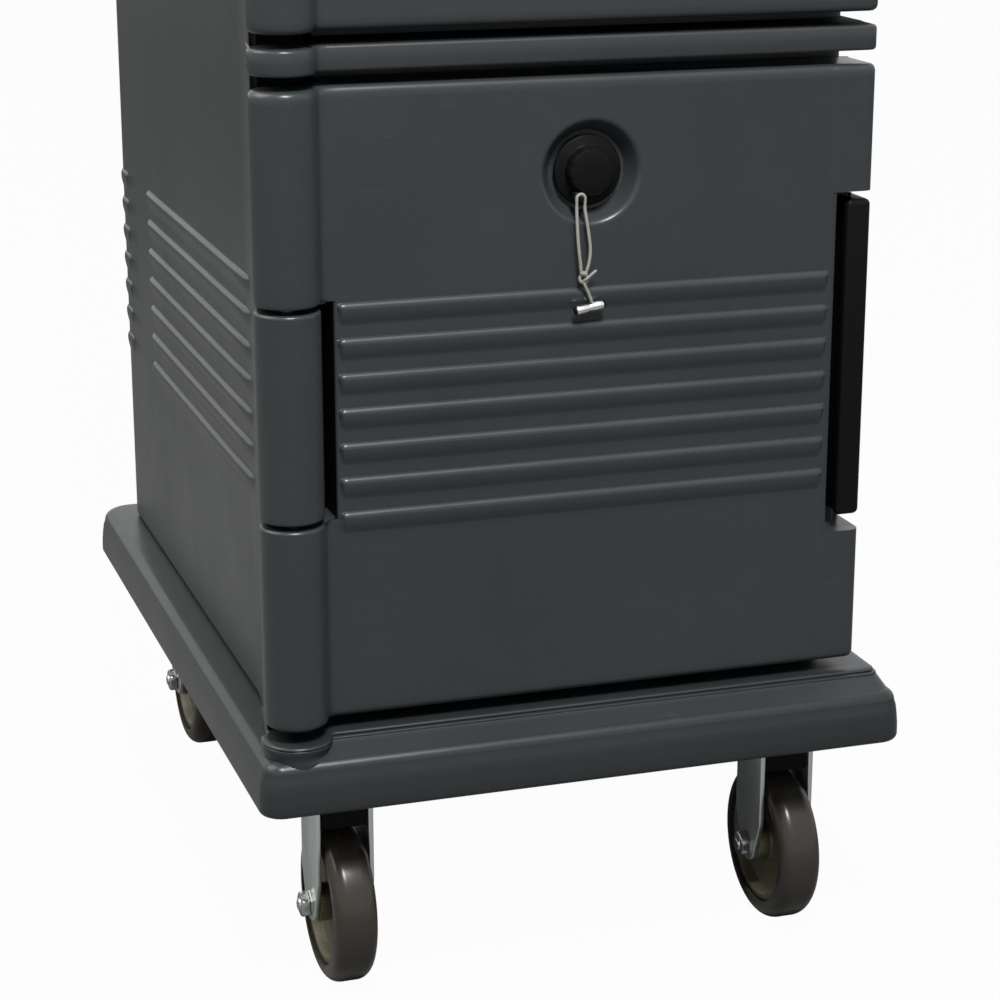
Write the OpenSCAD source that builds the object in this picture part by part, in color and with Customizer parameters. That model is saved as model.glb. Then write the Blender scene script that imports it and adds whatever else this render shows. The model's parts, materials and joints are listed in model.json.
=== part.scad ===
// Insulated tray cart with two front-loading compartments, one above the other.
// Millimetres, +Z up. The origin is on the floor, under the middle of the base.
// The doors face -Y, and their hinges are on the -X side.

/* [Cabinet] */
// Width of the cabinet over its side walls
body_w = 457; // [430:1:480]
// Depth of the cabinet, from the door faces to the back wall
body_d = 660; // [620:1:680]
// Thickness of an insulated side wall
side_wall = 57; // [52:0.5:66]
// Thickness of the insulated back wall
back_wall = 50; // [46:0.5:60]
// Height of a compartment's floor over the lower edge of its door
cavity_up = 26.5; // [24:0.5:34]
// Distance of a compartment's roof under the upper edge of its door
cavity_down = 27; // [26:0.5:34]
// Radius of a compartment's corners, seen from the front
cavity_r = 22; // [12:1:26]
// Corner radius of the cabinet at the back, seen from above
back_r = 22; // [14:1:32]
// Radius of the right front corners, seen from above
front_r = 8; // [5:0.5:11]
// Height of the band between the two doors
band_h = 18.5; // [14:0.5:30]
// Height of the top over the upper door's gap
top_h = 49; // [44:0.5:60]
// Height of the rounded crown that stands on the top
crown_h = 8; // [6:0.5:9]
// Width of the ledge round the crown
crown_in = 8; // [6:0.5:14]
// Width of the rim round the flat tray on the crown
rim_w = 24; // [18:1:40]
// Depth of the flat tray on the crown
tray_d = 4; // [2:0.5:6]

/* [Tray rails] */
// Rails on each wall of a compartment
rail_count = 5; // [3:1:5]
// Distance from one rail to the next
rail_pitch = 72; // [60:1:76]
// Height of the lowest rail's top over the compartment's floor
rail_low = 52; // [44:1:60]
// How far a rail stands out from the wall
rail_w = 12; // [8:0.5:14]
// Height of a rail at the wall
rail_h = 16; // [12:0.5:20]
// Distance of the rails' ends from the front and back of a compartment
rail_end = 12; // [10:1:40]

/* [Base] */
// Height of the base's underside over the floor
base_z = 170.5; // [168:0.5:190]
// How far the base stands out past each side wall
base_side = 32; // [28:0.5:40]
// How far the base stands out past the doors and the back wall
base_end = 30; // [28:0.5:40]
// Height of the bumper round the base
base_h = 42; // [38:0.5:46]
// Corner radius of the bumper, seen from above
base_corner = 18; // [12:1:30]
// Radius of the bumper's edges
base_edge = 5; // [3:0.5:8]
// Height of the sill under the lower door
sill_h = 13; // [10:0.5:18]
// Height of the sill's lower step
sill_step = 6.5; // [4:0.5:8]
// How far the sill's upper step stands out past the door
sill_lip = 3; // [1:0.25:4]
// Width of the sill's lower step
sill_tread = 3; // [1:0.25:4]
// How much further the sill reaches past the door on the latch side
sill_side = 15; // [0:0.5:18]

/* [Doors] */
// Height of a door
door_h = 468.5; // [462:0.5:480]
// Thickness of a door panel
door_t = 52; // [48:0.5:56]
// Gap over and under a door
door_gap = 10; // [6:0.5:14]
// Radius of the long edges of a door's face
door_edge = 5; // [3:0.5:7]
// How far the inner pan of a door reaches into its compartment
pan_d = 7; // [4:0.5:10]
// Gap round the inner pan of a door
pan_gap = 7.5; // [7:0.5:12]
// Thickness of the rubber seal on a door
seal_t = 7.7; // [6:0.1:10]
// Width of the rubber seal
seal_w = 11; // [8:0.5:12]
// Distance of the seal from the edge of the compartment
seal_out = 6; // [4:0.5:6]
// Gap between the closed seal and the cabinet's front
seal_gap = 0.3; // [0.2:0.1:0.5]

/* [Ribs] */
// Number of ribs in each set
rib_count = 7; // [5:1:8]
// Distance from one rib to the next
rib_pitch = 25.9; // [22:0.1:27]
// Height of the middle rib over the lower edge of the door
rib_mid = 234.8; // [230:0.2:240]
// Radius of a rib's round
rib_r = 5.3; // [4.5:0.1:6]
// How far a rib stands out
rib_rise = 3.5; // [2.5:0.1:4]
// Length of the ribs on a door
door_rib = 384.5; // [360:0.5:388]
// Length of the ribs on a side wall
side_rib = 410; // [350:1:430]
// Distance of the side ribs' middle from the middle of the cabinet
side_rib_y = -20; // [-24:1:0]
// How far a rib stands out at the back and round its corners
back_rib_rise = 2; // [1.5:0.1:3.5]
// Length of the straight part of a rib at a back corner
back_rib_leg = 20; // [10:1:30]

/* [Hinge] */
// Radius of the hinge column
barrel_r = 24; // [22:0.5:25]
// Distance of the hinge axis from the side wall's outer face
axis_in = 1.5; // [1:0.5:4]
// Distance of the hinge axis in front of the door face
axis_out = 1; // [0.5:0.5:1.5]
// Width left free for the hinge column beside a door panel
panel_in = 35.5; // [34.5:0.5:38]
// Height of the fixed middle knuckle
knuckle_h = 154; // [140:1:170]
// Height of the fixed knuckle's middle over the door's lower edge
knuckle_mid = 235.5; // [230:0.5:240]
// Gap between two knuckles
knuckle_gap = 4; // [2:0.5:5]
// Gap between the column and its seat in the cabinet
seat_gap = 1; // [0.8:0.1:1.5]
// Thickness of the neck between a door's knuckle and its panel
neck_t = 21.5; // [18:0.5:22]
// Radius of the hinge pin
pin_r = 5; // [4:0.5:6]
// Length of the hinge pin
pin_len = 340; // [300:5:380]
// Radial clearance of a pin or shaft in its hole
fit = 0.05; // [0.03:0.01:0.08]
// Distance over which the side wall swells out to the column
flare_len = 129; // [110:1:150]
// How far the side wall swells out
flare_out = 18.5; // [16:0.5:19]

/* [Latch] */
// Height of the latch lever
latch_h = 249; // [220:1:250]
// Height of the lever's middle over the door's lower edge
latch_mid = 240; // [236:0.5:244]
// Width of the latch lever
latch_w = 20; // [18:0.5:21]
// Gap between the lever and the door edge's outer face
latch_in = 0.5; // [0.3:0.1:1]
// Depth of the lever's grip
latch_d = 36; // [34:0.5:37]
// Gap over and under the lever
latch_gap = 9; // [6:0.5:12]
// Finger gap beside the lever
finger_gap = 8; // [7.8:0.1:12]
// Depth of the latch recess in the door
recess_d = 40; // [39:0.5:42]
// Height of the lever's tail
tail_h = 90; // [60:1:120]
// Thickness of the lever's tail
tail_t = 9.5; // [8:0.5:10]
// Distance from the latch pin to the tail's end
tail_len = 44; // [43:0.5:46]
// Radius of the latch pin
latch_pin_r = 4; // [3:0.5:4]
// How far the latch pin reaches into the door at each end
latch_pin_in = 18; // [10:1:30]
// Thickness of the keeper plate
keeper_t = 2; // [1.5:0.1:2.4]
// Radius of the keeper's bead
keeper_bead = 2; // [1.5:0.1:2.2]
// Gap between the lever's nose and the keeper's bead
keeper_gap = 0.3; // [0.2:0.1:0.6]

/* [Vent] */
// Distance of the vent from the middle of the cabinet
vent_x = 2; // [-10:1:10]
// Distance of the vent's middle under the door's upper edge
vent_down = 69.5; // [64:0.5:84]
// Radius of the vent recess at the door face
vent_r = 38; // [34:0.5:42]
// Radius of the vent recess at its floor
vent_floor_r = 29; // [28:0.5:32]
// Depth of the vent recess
vent_d = 14; // [12:0.5:16]
// Outer radius of the vent sleeve
sleeve_r = 11; // [9.5:0.5:13]
// Wall of the vent sleeve
sleeve_wall = 3; // [2:0.5:3]
// Thickness of the sleeve's flange
sleeve_flange = 2; // [1.5:0.5:3]
// Radius of the sleeve's flange
sleeve_flange_r = 17; // [15:0.5:22]
// Radius of the cap's flange
cap_r = 26; // [24:0.5:27]
// Thickness of the cap's flange
cap_t = 4; // [3:0.5:5]
// Radius of the cap's knob
knob_r = 18; // [16:0.5:20]
// Height of the cap's knob
knob_h = 10; // [8:0.5:12]
// Number of finger grips round the knob
grip_count = 10; // [8:1:12]
// Radius of a finger grip
grip_r = 3.2; // [2.5:0.1:3.5]
// Length of the cap's stem
stem_len = 34; // [32:1:40]

/* [Tether] */
// Radius of the tether's cord
wire_r = 1.25; // [0.8:0.05:1.4]
// Radius of the knot that joins the tether's two strands
knot_r = 4.2; // [3.8:0.1:4.6]
// Radius of the toggle bar at the tether's end
toggle_r = 3.4; // [2.5:0.1:3.5]
// Length of the toggle bar
toggle_len = 24; // [18:0.5:28]
// Tilt of the toggle bar
toggle_tilt = 12; // [0:1:15]

/* [Casters] */
// Distance of each caster's middle from the side of the base
caster_side = 75.5; // [66:0.5:90]
// Distance of each caster's middle from the front or back end of the base
caster_end = 80; // [70:1:100]
// Radius of a wheel
wheel_r = 63.5; // [60:0.5:65]
// Width of a wheel's tread
wheel_w = 34; // [30:0.5:36]
// Radius of the tread's shoulders
shoulder_r = 11; // [8:0.5:13]
// Depth of the tread's band over the core
tread_t = 14; // [10:0.5:16]
// Radius of the ring round the hollow in a wheel's side
ring_r = 44; // [38:0.5:45]
// Depth of the hollow in a wheel's side
hollow_d = 8; // [4:0.5:10]
// Radius of a wheel's hub
hub_r = 15; // [12:0.5:18]
// Gap between a wheel's hub and the fork
hub_gap = 0.4; // [0.3:0.1:0.8]
// Gap between a wheel's tread and the fork
leg_gap = 2; // [1.5:0.25:3]
// Thickness of the fork's steel
leg_t = 4; // [3:0.5:5]
// Width of a fixed fork's leg
leg_w = 48; // [40:1:52]
// How far a fork's leg reaches past the axle
leg_end = 14; // [12:0.5:18]
// Height over the axle at which a fixed fork's leg starts to narrow
leg_taper = 24; // [18:1:30]
// Depth of the block between a fixed fork's legs, under the plate
block_d = 42; // [34:1:46]
// Gap between that block and the wheel
block_gap = 5; // [3:0.5:8]
// Radius of the axle bolt
axle_r = 5; // [4:0.5:6]
// Height of the axle's head and nut
nut_h = 8; // [6:0.5:9]
// Width of the axle's nut across its flats
nut_flats = 19; // [16:0.5:20]
// Length of the thread past the nut
stud_len = 2; // [1:0.5:5]
// Width of a caster's top plate
plate_w = 76; // [70:1:90]
// Length of a caster's top plate
plate_l = 96; // [86:1:110]
// Thickness of a caster's top plate
plate_t = 4; // [3:0.5:5]
// How far a swivel wheel trails behind its pivot
trail = 35; // [30:0.5:38]
// Radius of the swivel race
race_r = 29; // [26:0.5:32]
// Height of the swivel race
race_h = 8; // [6:0.5:10]
// Gap under the swivel race
race_gap = 0.3; // [0.3:0.1:0.6]
// Thickness of the swivel fork's crown
crown_t = 7; // [6:0.5:8]
// Radius of the swivel's kingpin
king_r = 6; // [5:0.5:7]

/* [Brake] */
// Distance of the brake's pivot behind the swivel axis
brake_y = 12; // [11:0.5:13]
// Height of the brake's pivot over the axle
brake_up = 56.5; // [56:0.5:58]
// Radius of the brake's pivot pin
brake_pin_r = 3; // [2.5:0.5:3]
// Distance of the brake shoe from the pivot
shoe_off = 7.1; // [6.6:0.1:7.1]
// Radius of the brake shoe
shoe_r = 3; // [2.6:0.1:3]
// Length of the brake pedal
pedal_len = 50; // [44:1:54]
// Width of the brake pedal's pad
pedal_w = 44; // [36:1:50]
// Thickness of the brake pedal
pedal_t = 5; // [4:0.5:6]

/* [Handle] */
// Width of the handle pocket in the back
handle_w = 320; // [260:1:340]
// Height of the handle pocket
handle_h = 55; // [50:1:56]
// Depth of the handle pocket
handle_d = 45; // [42:0.5:46]
// Radius of the handle bar
handle_r = 12; // [10:0.5:13]
// Distance of the handle bar's axis from the back wall's outer face
handle_in = 14; // [13:0.5:16]
// Distance of the pocket's upper edge from the top
handle_down = 15; // [12:0.5:18]

/* [Hidden] */
$fn = 48;
eps = 1;

base_w = body_w + 2 * base_side;
base_d = body_d + 2 * base_end;
base_top = base_z + base_h;
lower_z = base_top + sill_h + door_gap;
pitch = door_h + 2 * door_gap + band_h;
upper_z = lower_z + pitch;
top_z = upper_z + door_h + door_gap;
total_h = top_z + top_h;
right_x = body_w / 2;
sill_x = right_x + sill_side;
front_y = -body_d / 2;
back_y = body_d / 2;
door_back = front_y + door_t;
frame_y = door_back + seal_t + seal_gap;
axis_x = -right_x + axis_in;
axis_y = front_y - axis_out;
seat_r = barrel_r + seat_gap;
web_x = axis_x + barrel_r - 2;
panel_x = -right_x + panel_in;
cav_x = right_x - side_wall;
cav_y = back_y - back_wall;
cavity_h = door_h - cavity_up - cavity_down;
neck_y = front_y + neck_t;
lever_x = right_x - latch_in;
lever_in = lever_x - latch_w;
recess_x = lever_in - finger_gap;
lpin_x = lever_in + 2 + latch_pin_r;
lpin_y = front_y + 30;
latch_recess_h = latch_h + 2 * latch_gap;
vent_up = door_h - vent_down;
bead_x = lever_x - tail_t - 2.5;
keeper_x = bead_x - keeper_bead - keeper_t;
keeper_room = tail_h + 14;
keeper_d = 24;
caster_x = base_w / 2 - caster_side;
caster_y = base_d / 2 - caster_end;
leg_in = wheel_w / 2 + leg_gap;
leg_out = leg_in + leg_t;
plate_z = base_z - plate_t;
race_z = plate_z - race_h;
crown_z = race_z - race_gap - crown_t;
axle_y = -trail;
brake_z = wheel_r + brake_up;

// Side wall's outline where it swells out to the hinge column
function ease(t) = t * t * (3 - 2 * t);
flare = [for (i = [0:12]) let (t = i / 12) [-right_x - flare_out * ease(t), axis_y + flare_len * (1 - t)]];

// Route of each strand of a tether, from the middle of the vent at the door face
left_route = [[-12.6, -3, -23], [-12.6, -3, -27], [-12.6, -4.2, -36], [-12.3, -5.2, -46],
    [-11.6, -5.8, -56], [-10.6, -6.2, -65], [-10, -6.2, -72.5]];
right_route = [[-6.2, -3, -23], [-6.2, -3, -27], [-4.8, -4.2, -37], [-3.4, -5.2, -48],
    [-2.8, -5.8, -57], [-4, -6.2, -66], [-6, -6.2, -72.5]];

// Rounded rectangle, middle of its lower edge at the origin
module round_bar(w, h, r) {
    translate([-w / 2 + r, 0]) square([w - 2 * r, h]);
    translate([-w / 2, r]) square([w, h - 2 * r]);
    for (x = [-w / 2 + r, w / 2 - r], y = [r, h - r]) translate([x, y]) circle(r);
}

// Slab rounded in plan by rc and on all its edges by re
module slab(w, d, h, rc, re) {
    for (sx = [-1, 1], sy = [-1, 1]) translate([sx * (w / 2 - rc), sy * (d / 2 - rc), 0]) rotate_extrude() {
        square([rc - re, h]);
        translate([0, re]) square([rc, h - 2 * re]);
        for (z = [re, h - re]) translate([rc - re, z]) circle(re);
    }
    translate([0, d / 2 - rc, 0]) rotate([90, 0, 0]) linear_extrude(d - 2 * rc) round_bar(w, h, re);
    translate([-w / 2 + rc, 0, 0]) rotate([90, 0, 90]) linear_extrude(w - 2 * rc) round_bar(d, h, re);
}

// Rib with round ends along X, sunk so that it stands out by rib_rise towards -Y
module rib(len) {
    translate([0, rib_r - rib_rise, 0]) rotate([0, 90, 0]) rotate_extrude() intersection() {
        union() {
            translate([0, -len / 2 + rib_r]) square([rib_r, len - 2 * rib_r]);
            for (y = [-len / 2 + rib_r, len / 2 - rib_r]) translate([0, y]) circle(rib_r);
        }
        translate([0, -len / 2]) square([rib_r, len]);
    }
}

// Heights of the ribs over a door's lower edge
rib_z = [for (i = [0:rib_count - 1]) rib_mid + (i - (rib_count - 1) / 2) * rib_pitch];

// Cabinet behind the doors, seen from above
module shell_plan() {
    translate([-right_x, frame_y]) square([body_w, back_y - back_r - frame_y]);
    translate([-right_x + back_r, frame_y]) square([body_w - 2 * back_r, back_y - frame_y]);
    for (s = [-1, 1]) translate([s * (right_x - back_r), back_y - back_r]) circle(back_r);
}

// Swelling of the side wall behind the hinge column, seen from above
module flare_plan() {
    polygon(concat(flare, [[web_x, axis_y], [web_x, axis_y + flare_len]]));
}

// Full outline with the door faces' plane and the hinge column, seen from above
module full_plan() {
    shell_plan();
    column_plan();
    translate([web_x, front_y]) square([right_x - front_r - web_x, body_d / 2]);
    translate([web_x, front_y + front_r]) square([right_x - web_x, body_d / 2]);
    translate([right_x - front_r, front_y + front_r]) circle(front_r);
}

module column_plan() {
    flare_plan();
    translate([axis_x, axis_y]) circle(barrel_r);
}

// Space of a compartment: its rounded outline less the rails on both walls
module cavity(z0) {
    z1 = z0 + cavity_up;
    difference() {
        translate([0, cav_y, z1]) rotate([90, 0, 0]) linear_extrude(cav_y - frame_y + eps)
            round_bar(2 * cav_x, cavity_h, cavity_r);
        for (s = [0, 1], i = [0:rail_count - 1]) mirror([s, 0, 0])
            translate([cav_x, cav_y - rail_end, z1 + rail_low + i * rail_pitch]) rotate([90, 0, 0])
                linear_extrude(cav_y - frame_y - 2 * rail_end)
                    polygon([[eps, 0], [-rail_w, 0], [-rail_w, -rail_h / 3], [0, -rail_h], [eps, -rail_h]]);
    }
}

// Ribs on both side walls and round the back of a compartment
module wall_ribs(z0) {
    for (z = rib_z) {
        translate([-right_x, side_rib_y, z0 + z]) rotate([0, 0, -90]) rib(side_rib);
        translate([right_x, side_rib_y, z0 + z]) rotate([0, 0, 90]) rib(side_rib);
        translate([0, back_y - rib_r + back_rib_rise, z0 + z]) rotate([0, 90, 0])
            cylinder(r = rib_r, h = body_w - 2 * back_r, center = true);
        for (s = [0, 1]) mirror([s, 0, 0]) {
            translate([right_x - back_r, back_y - back_r, z0 + z]) rotate_extrude(angle = 90)
                translate([back_r - rib_r + back_rib_rise, 0]) circle(rib_r);
            translate([right_x - rib_r + back_rib_rise, back_y - back_r, z0 + z]) rotate([90, 0, 0])
                cylinder(r = rib_r, h = back_rib_leg);
            translate([right_x - rib_r + back_rib_rise, back_y - back_r - back_rib_leg, z0 + z]) sphere(rib_r);
        }
    }
}

module cabinet() color([0.29, 0.31, 0.31]) difference() {
    union() {
        translate([0, 0, base_top]) linear_extrude(total_h - crown_h - base_top) shell_plan();
        translate([0, 0, base_top]) linear_extrude(total_h - crown_h - base_top) difference() {
            flare_plan();
            translate([axis_x, axis_y]) circle(seat_r);
            translate([axis_x, axis_y - eps]) square([barrel_r * 2, seat_r + 2 * eps]);
        }
        for (z0 = [lower_z, upper_z]) {
            translate([0, 0, z0 + knuckle_mid - knuckle_h / 2]) linear_extrude(knuckle_h) column_plan();
            wall_ribs(z0);
        }
        translate([0, 0, upper_z - door_gap - band_h]) linear_extrude(band_h) full_plan();
        translate([0, 0, top_z]) linear_extrude(top_h - crown_h) full_plan();
        translate([0, 0, total_h - 3 * crown_h])
            slab(body_w - 2 * crown_in, body_d - 2 * crown_in, 3 * crown_h, back_r, crown_h);
    }
    // Room for the sill of the base
    translate([-body_w, frame_y - body_d, base_top - eps]) cube([2 * body_w, body_d, sill_h + eps]);
    for (z0 = [lower_z, upper_z]) {
        cavity(z0);
        // Hinge pin's bore in the fixed knuckle
        translate([axis_x, axis_y, z0 + knuckle_mid]) cylinder(r = pin_r + fit, h = knuckle_h + 2 * eps, center = true);
        // Notch for the latch's tail and the keeper
        translate([keeper_x, frame_y - eps, z0 + latch_mid - keeper_room / 2])
            cube([right_x, keeper_d + eps, keeper_room]);
    }
    // Flat tray on the crown
    translate([0, 0, total_h - tray_d]) linear_extrude(tray_d + eps)
        translate([0, -body_d / 2 + rim_w + crown_in])
            round_bar(body_w - 2 * (rim_w + crown_in), body_d - 2 * (rim_w + crown_in), back_r);
    // Handle pocket in the back
    translate([-handle_w / 2, back_y - handle_d, total_h - handle_down - handle_h])
        cube([handle_w, handle_d + rib_r, handle_h]);
}

// One step of the sill, which follows the door's outline at a distance out
module sill_plan(out) {
    intersection() {
        union() {
            translate([axis_x, front_y - out]) square([sill_x - axis_x + out - front_r, body_d]);
            translate([axis_x, front_y - out + front_r]) square([sill_x - axis_x + out, body_d]);
            translate([sill_x + out - front_r, front_y - out + front_r]) circle(front_r);
            translate([axis_x, axis_y]) circle(barrel_r + out);
            translate([axis_x - barrel_r - out, axis_y]) square([barrel_r, body_d]);
        }
        translate([-base_w / 2, -base_d / 2]) square([base_w, base_d / 2 + frame_y]);
    }
}

module base() color([0.24, 0.26, 0.27]) {
    translate([0, 0, base_z]) slab(base_w, base_d, base_h, base_corner, base_edge);
    translate([0, 0, base_top - base_edge]) linear_extrude(sill_step + base_edge) sill_plan(sill_lip + sill_tread);
    translate([0, 0, base_top - base_edge]) linear_extrude(sill_h + base_edge) sill_plan(sill_lip);
}

module rear_handle() color([0.1, 0.1, 0.11])
    translate([0, back_y - handle_in, total_h - handle_down - handle_h / 2]) rotate([0, 90, 0])
        cylinder(r = handle_r, h = handle_w, center = true);

// Moulded door: panel, inner pan, two knuckles, ribs, latch recess and vent recess
module door(z0) color([0.27, 0.29, 0.3]) {
    pan_x = cav_x - pan_gap;
    low_k = knuckle_mid - knuckle_h / 2 - knuckle_gap;
    up_k = knuckle_mid + knuckle_h / 2 + knuckle_gap;
    difference() {
        union() {
            intersection() {
                translate([0, 0, z0]) linear_extrude(door_h) {
                    translate([panel_x, front_y]) square([right_x - front_r - panel_x, door_t]);
                    translate([panel_x, front_y + front_r]) square([right_x - panel_x, door_t - front_r]);
                    translate([right_x - front_r, front_y + front_r]) circle(front_r);
                }
                translate([-body_w, 0, z0]) rotate([90, 0, 90]) linear_extrude(2 * body_w) {
                    translate([front_y, door_edge]) square([door_t, door_h - 2 * door_edge]);
                    translate([front_y + door_edge, 0]) square([door_t - door_edge, door_h]);
                    for (z = [door_edge, door_h - door_edge])
                        translate([front_y + door_edge, z]) circle(door_edge);
                }
            }
            for (k = [[0, low_k], [up_k, door_h - up_k]]) translate([0, 0, z0 + k[0]]) linear_extrude(k[1]) {
                translate([axis_x, axis_y]) circle(barrel_r);
                translate([axis_x, front_y]) square([panel_x - axis_x + eps, neck_t]);
            }
            translate([0, door_back + seal_t + seal_gap + pan_d, z0 + cavity_up + pan_gap]) rotate([90, 0, 0])
                linear_extrude(seal_t + seal_gap + pan_d + eps)
                    round_bar(2 * pan_x, cavity_h - 2 * pan_gap, cavity_r);
            for (z = rib_z) translate([(panel_x + recess_x) / 2 - 2, front_y, z0 + z]) rib(door_rib);
        }
        // Hinge pin's bores
        translate([axis_x, axis_y, z0 + knuckle_mid]) cylinder(r = pin_r + fit, h = pin_len + 2 * eps, center = true);
        // Latch recess, and the way of the lever's tail
        translate([recess_x, front_y - eps, z0 + latch_mid - latch_recess_h / 2])
            cube([body_w, recess_d + eps, latch_recess_h]);
        translate([bead_x - 1, front_y, z0 + latch_mid - tail_h / 2 - 5]) cube([body_w, door_t * 1.1, tail_h + 10]);
        translate([lpin_x, lpin_y, z0 + latch_mid])
            cylinder(r = latch_pin_r + fit, h = latch_recess_h + 2 * latch_pin_in + 2 * eps, center = true);
        // Vent recess and the sleeve's bore
        translate([vent_x, front_y - eps, z0 + vent_up]) rotate([-90, 0, 0])
            cylinder(r = vent_r, h = eps);
        translate([vent_x, front_y, z0 + vent_up]) rotate([-90, 0, 0])
            cylinder(r1 = vent_r, r2 = vent_floor_r, h = vent_d);
        translate([vent_x, front_y, z0 + vent_up]) rotate([-90, 0, 0])
            cylinder(r = sleeve_r + fit, h = door_t * 2);
    }
}

// Rubber seal round the back of a door
module seal(z0) color([0.08, 0.08, 0.08]) {
    w = 2 * (cav_x + seal_out);
    h = cavity_h + 2 * seal_out;
    translate([0, door_back + seal_t, z0 + cavity_up - seal_out]) rotate([90, 0, 0]) linear_extrude(seal_t)
        difference() {
            translate([0, -seal_w]) round_bar(w + 2 * seal_w, h + 2 * seal_w, cavity_r + seal_w);
            round_bar(w, h, cavity_r);
        }
}

module hinge_pin(z0) color([0.75, 0.76, 0.77])
    translate([axis_x, axis_y, z0 + knuckle_mid]) cylinder(r = pin_r, h = pin_len, center = true);

// Lever with its grip in front of the pin and its tail behind it
module latch(z0) color([0.06, 0.06, 0.07]) difference() {
    tail_y = lpin_y + tail_len;
    union() {
        translate([lever_in + latch_w / 2, front_y + 1, z0 + latch_mid - latch_h / 2])
            linear_extrude(latch_h) round_bar(latch_w, latch_d, 5);
        translate([lever_x - tail_t, lpin_y, z0 + latch_mid - tail_h / 2]) cube([tail_t, tail_len, tail_h]);
        translate([bead_x + keeper_gap, tail_y - 6, z0 + latch_mid - tail_h / 2]) cube([tail_t, 6, tail_h]);
    }
    translate([lpin_x, lpin_y, z0 + latch_mid]) cylinder(r = latch_pin_r + fit, h = latch_h + 2 * eps, center = true);
}

module latch_pin(z0) color([0.75, 0.76, 0.77])
    translate([lpin_x, lpin_y, z0 + latch_mid])
        cylinder(r = latch_pin_r, h = latch_recess_h + 2 * latch_pin_in, center = true);

// Keeper plate with the bead that the lever's nose snaps over
module keeper(z0) color([0.72, 0.73, 0.74]) translate([keeper_x, frame_y, z0 + latch_mid - tail_h / 2]) {
    translate([0, 1, 0]) cube([keeper_t, keeper_d - 2, tail_h]);
    translate([keeper_t, 1.5 + keeper_bead, 0]) cylinder(r = keeper_bead, h = tail_h);
}

// Sleeve through the door, with its flange on the floor of the vent recess
module vent_sleeve(z0) color([0.1, 0.1, 0.1])
    translate([vent_x, front_y + vent_d, z0 + vent_up]) rotate([-90, 0, 0]) difference() {
        union() {
            translate([0, 0, -sleeve_flange]) cylinder(r = sleeve_flange_r, h = sleeve_flange);
            cylinder(r = sleeve_r, h = frame_y + pan_d - front_y - vent_d);
        }
        translate([0, 0, -sleeve_flange - eps]) cylinder(r = sleeve_r - sleeve_wall, h = body_d);
    }

// Cap with a scalloped knob, a stem and a lug for the tether
module vent_cap(z0) color([0.05, 0.05, 0.06]) {
    cap_y = front_y + vent_d - sleeve_flange;
    translate([vent_x, cap_y, z0 + vent_up]) rotate([90, 0, 0]) {
        cylinder(r = cap_r, h = cap_t);
        difference() {
            cylinder(r = knob_r, h = cap_t + knob_h);
            for (i = [0:grip_count - 1]) rotate(i * 360 / grip_count) translate([knob_r + grip_r / 2, 0, cap_t])
                cylinder(r = grip_r, h = knob_h + eps);
        }
        translate([0, 0, -stem_len]) cylinder(r = sleeve_r - sleeve_wall - fit, h = stem_len + eps);
    }
    translate([vent_x - 15.5, front_y - 6, z0 + vent_up - 23]) cube([12.5, 10, 9]);
}

// Round wire along a list of points: rings of eight sides, set square to the route
function unit(v) = v / norm(v);
function way(p, i) = unit(p[min(i + 1, len(p) - 1)] - p[max(i - 1, 0)]);
module wire(p, r) {
    n = len(p);
    pts = [for (i = [0:n - 1]) let (t = (i == 0 || i == n - 1) ? [0, 0, -1] : way(p, i),
        u = unit(cross(t, [1, 0, 0])), v = cross(t, u))
        for (k = [0:7]) p[i] + r * (cos(k * 45) * u + sin(k * 45) * v)];
    side = [for (i = [0:n - 2], k = [0:7]) [i * 8 + k, i * 8 + (k + 1) % 8, (i + 1) * 8 + (k + 1) % 8, (i + 1) * 8 + k]];
    tri = [for (f = side) each [[f[0], f[1], f[2]], [f[0], f[2], f[3]]]];
    polyhedron(concat(pts), concat(tri, [[for (k = [7:-1:0]) k]], [[for (k = [0:7]) (n - 1) * 8 + k]]));
}

module tether(z0, route) color([0.75, 0.76, 0.77])
    translate([vent_x, front_y, z0 + vent_up]) wire(route, wire_r);

// Knot that holds both strands, a short single strand and the toggle bar
module toggle(z0) color([0.8, 0.8, 0.8]) translate([vent_x, front_y, z0 + vent_up]) {
    translate([-8, -6.4, -81]) cylinder(r = knot_r, h = 8.5);
    translate([-7, -6.6, -78]) rotate([0, 160, 0]) cylinder(r = wire_r, h = 18);
    translate([-3.4, -7.4, -98.5]) rotate([0, 90 - toggle_tilt, 0])
        cylinder(r = toggle_r, h = toggle_len, center = true);
}

// Core of a wheel, its axis along X: hub, web and rim round the hollow of each side
module core() color([0.55, 0.5, 0.4]) rotate([0, 90, 0]) difference() {
    union() {
        cylinder(r = wheel_r - tread_t, h = wheel_w - 6, center = true);
        cylinder(r = hub_r, h = 2 * (leg_in - hub_gap), center = true);
    }
    for (s = [0, 1]) mirror([0, 0, s]) difference() {
        translate([0, 0, wheel_w / 2 - 3 - hollow_d]) cylinder(r1 = ring_r - 3, r2 = ring_r, h = hollow_d + 0.01);
        translate([0, 0, wheel_w / 2 - 4 - hollow_d]) cylinder(r = hub_r, h = wheel_w);
    }
    cylinder(r = axle_r + fit, h = 4 * wheel_w, center = true);
}

// Tread with round shoulders on the core
module tread() color([0.23, 0.21, 0.2]) rotate([0, 90, 0]) rotate_extrude() difference() {
    union() {
        translate([0, -wheel_w / 2]) square([wheel_r - shoulder_r, wheel_w]);
        translate([0, -wheel_w / 2 + shoulder_r]) square([wheel_r, wheel_w - 2 * shoulder_r]);
        for (s = [-1, 1]) translate([wheel_r - shoulder_r, s * (wheel_w / 2 - shoulder_r)]) circle(shoulder_r);
    }
    translate([-eps, -wheel_w]) square([wheel_r - tread_t + eps, 2 * wheel_w]);
}

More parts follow.
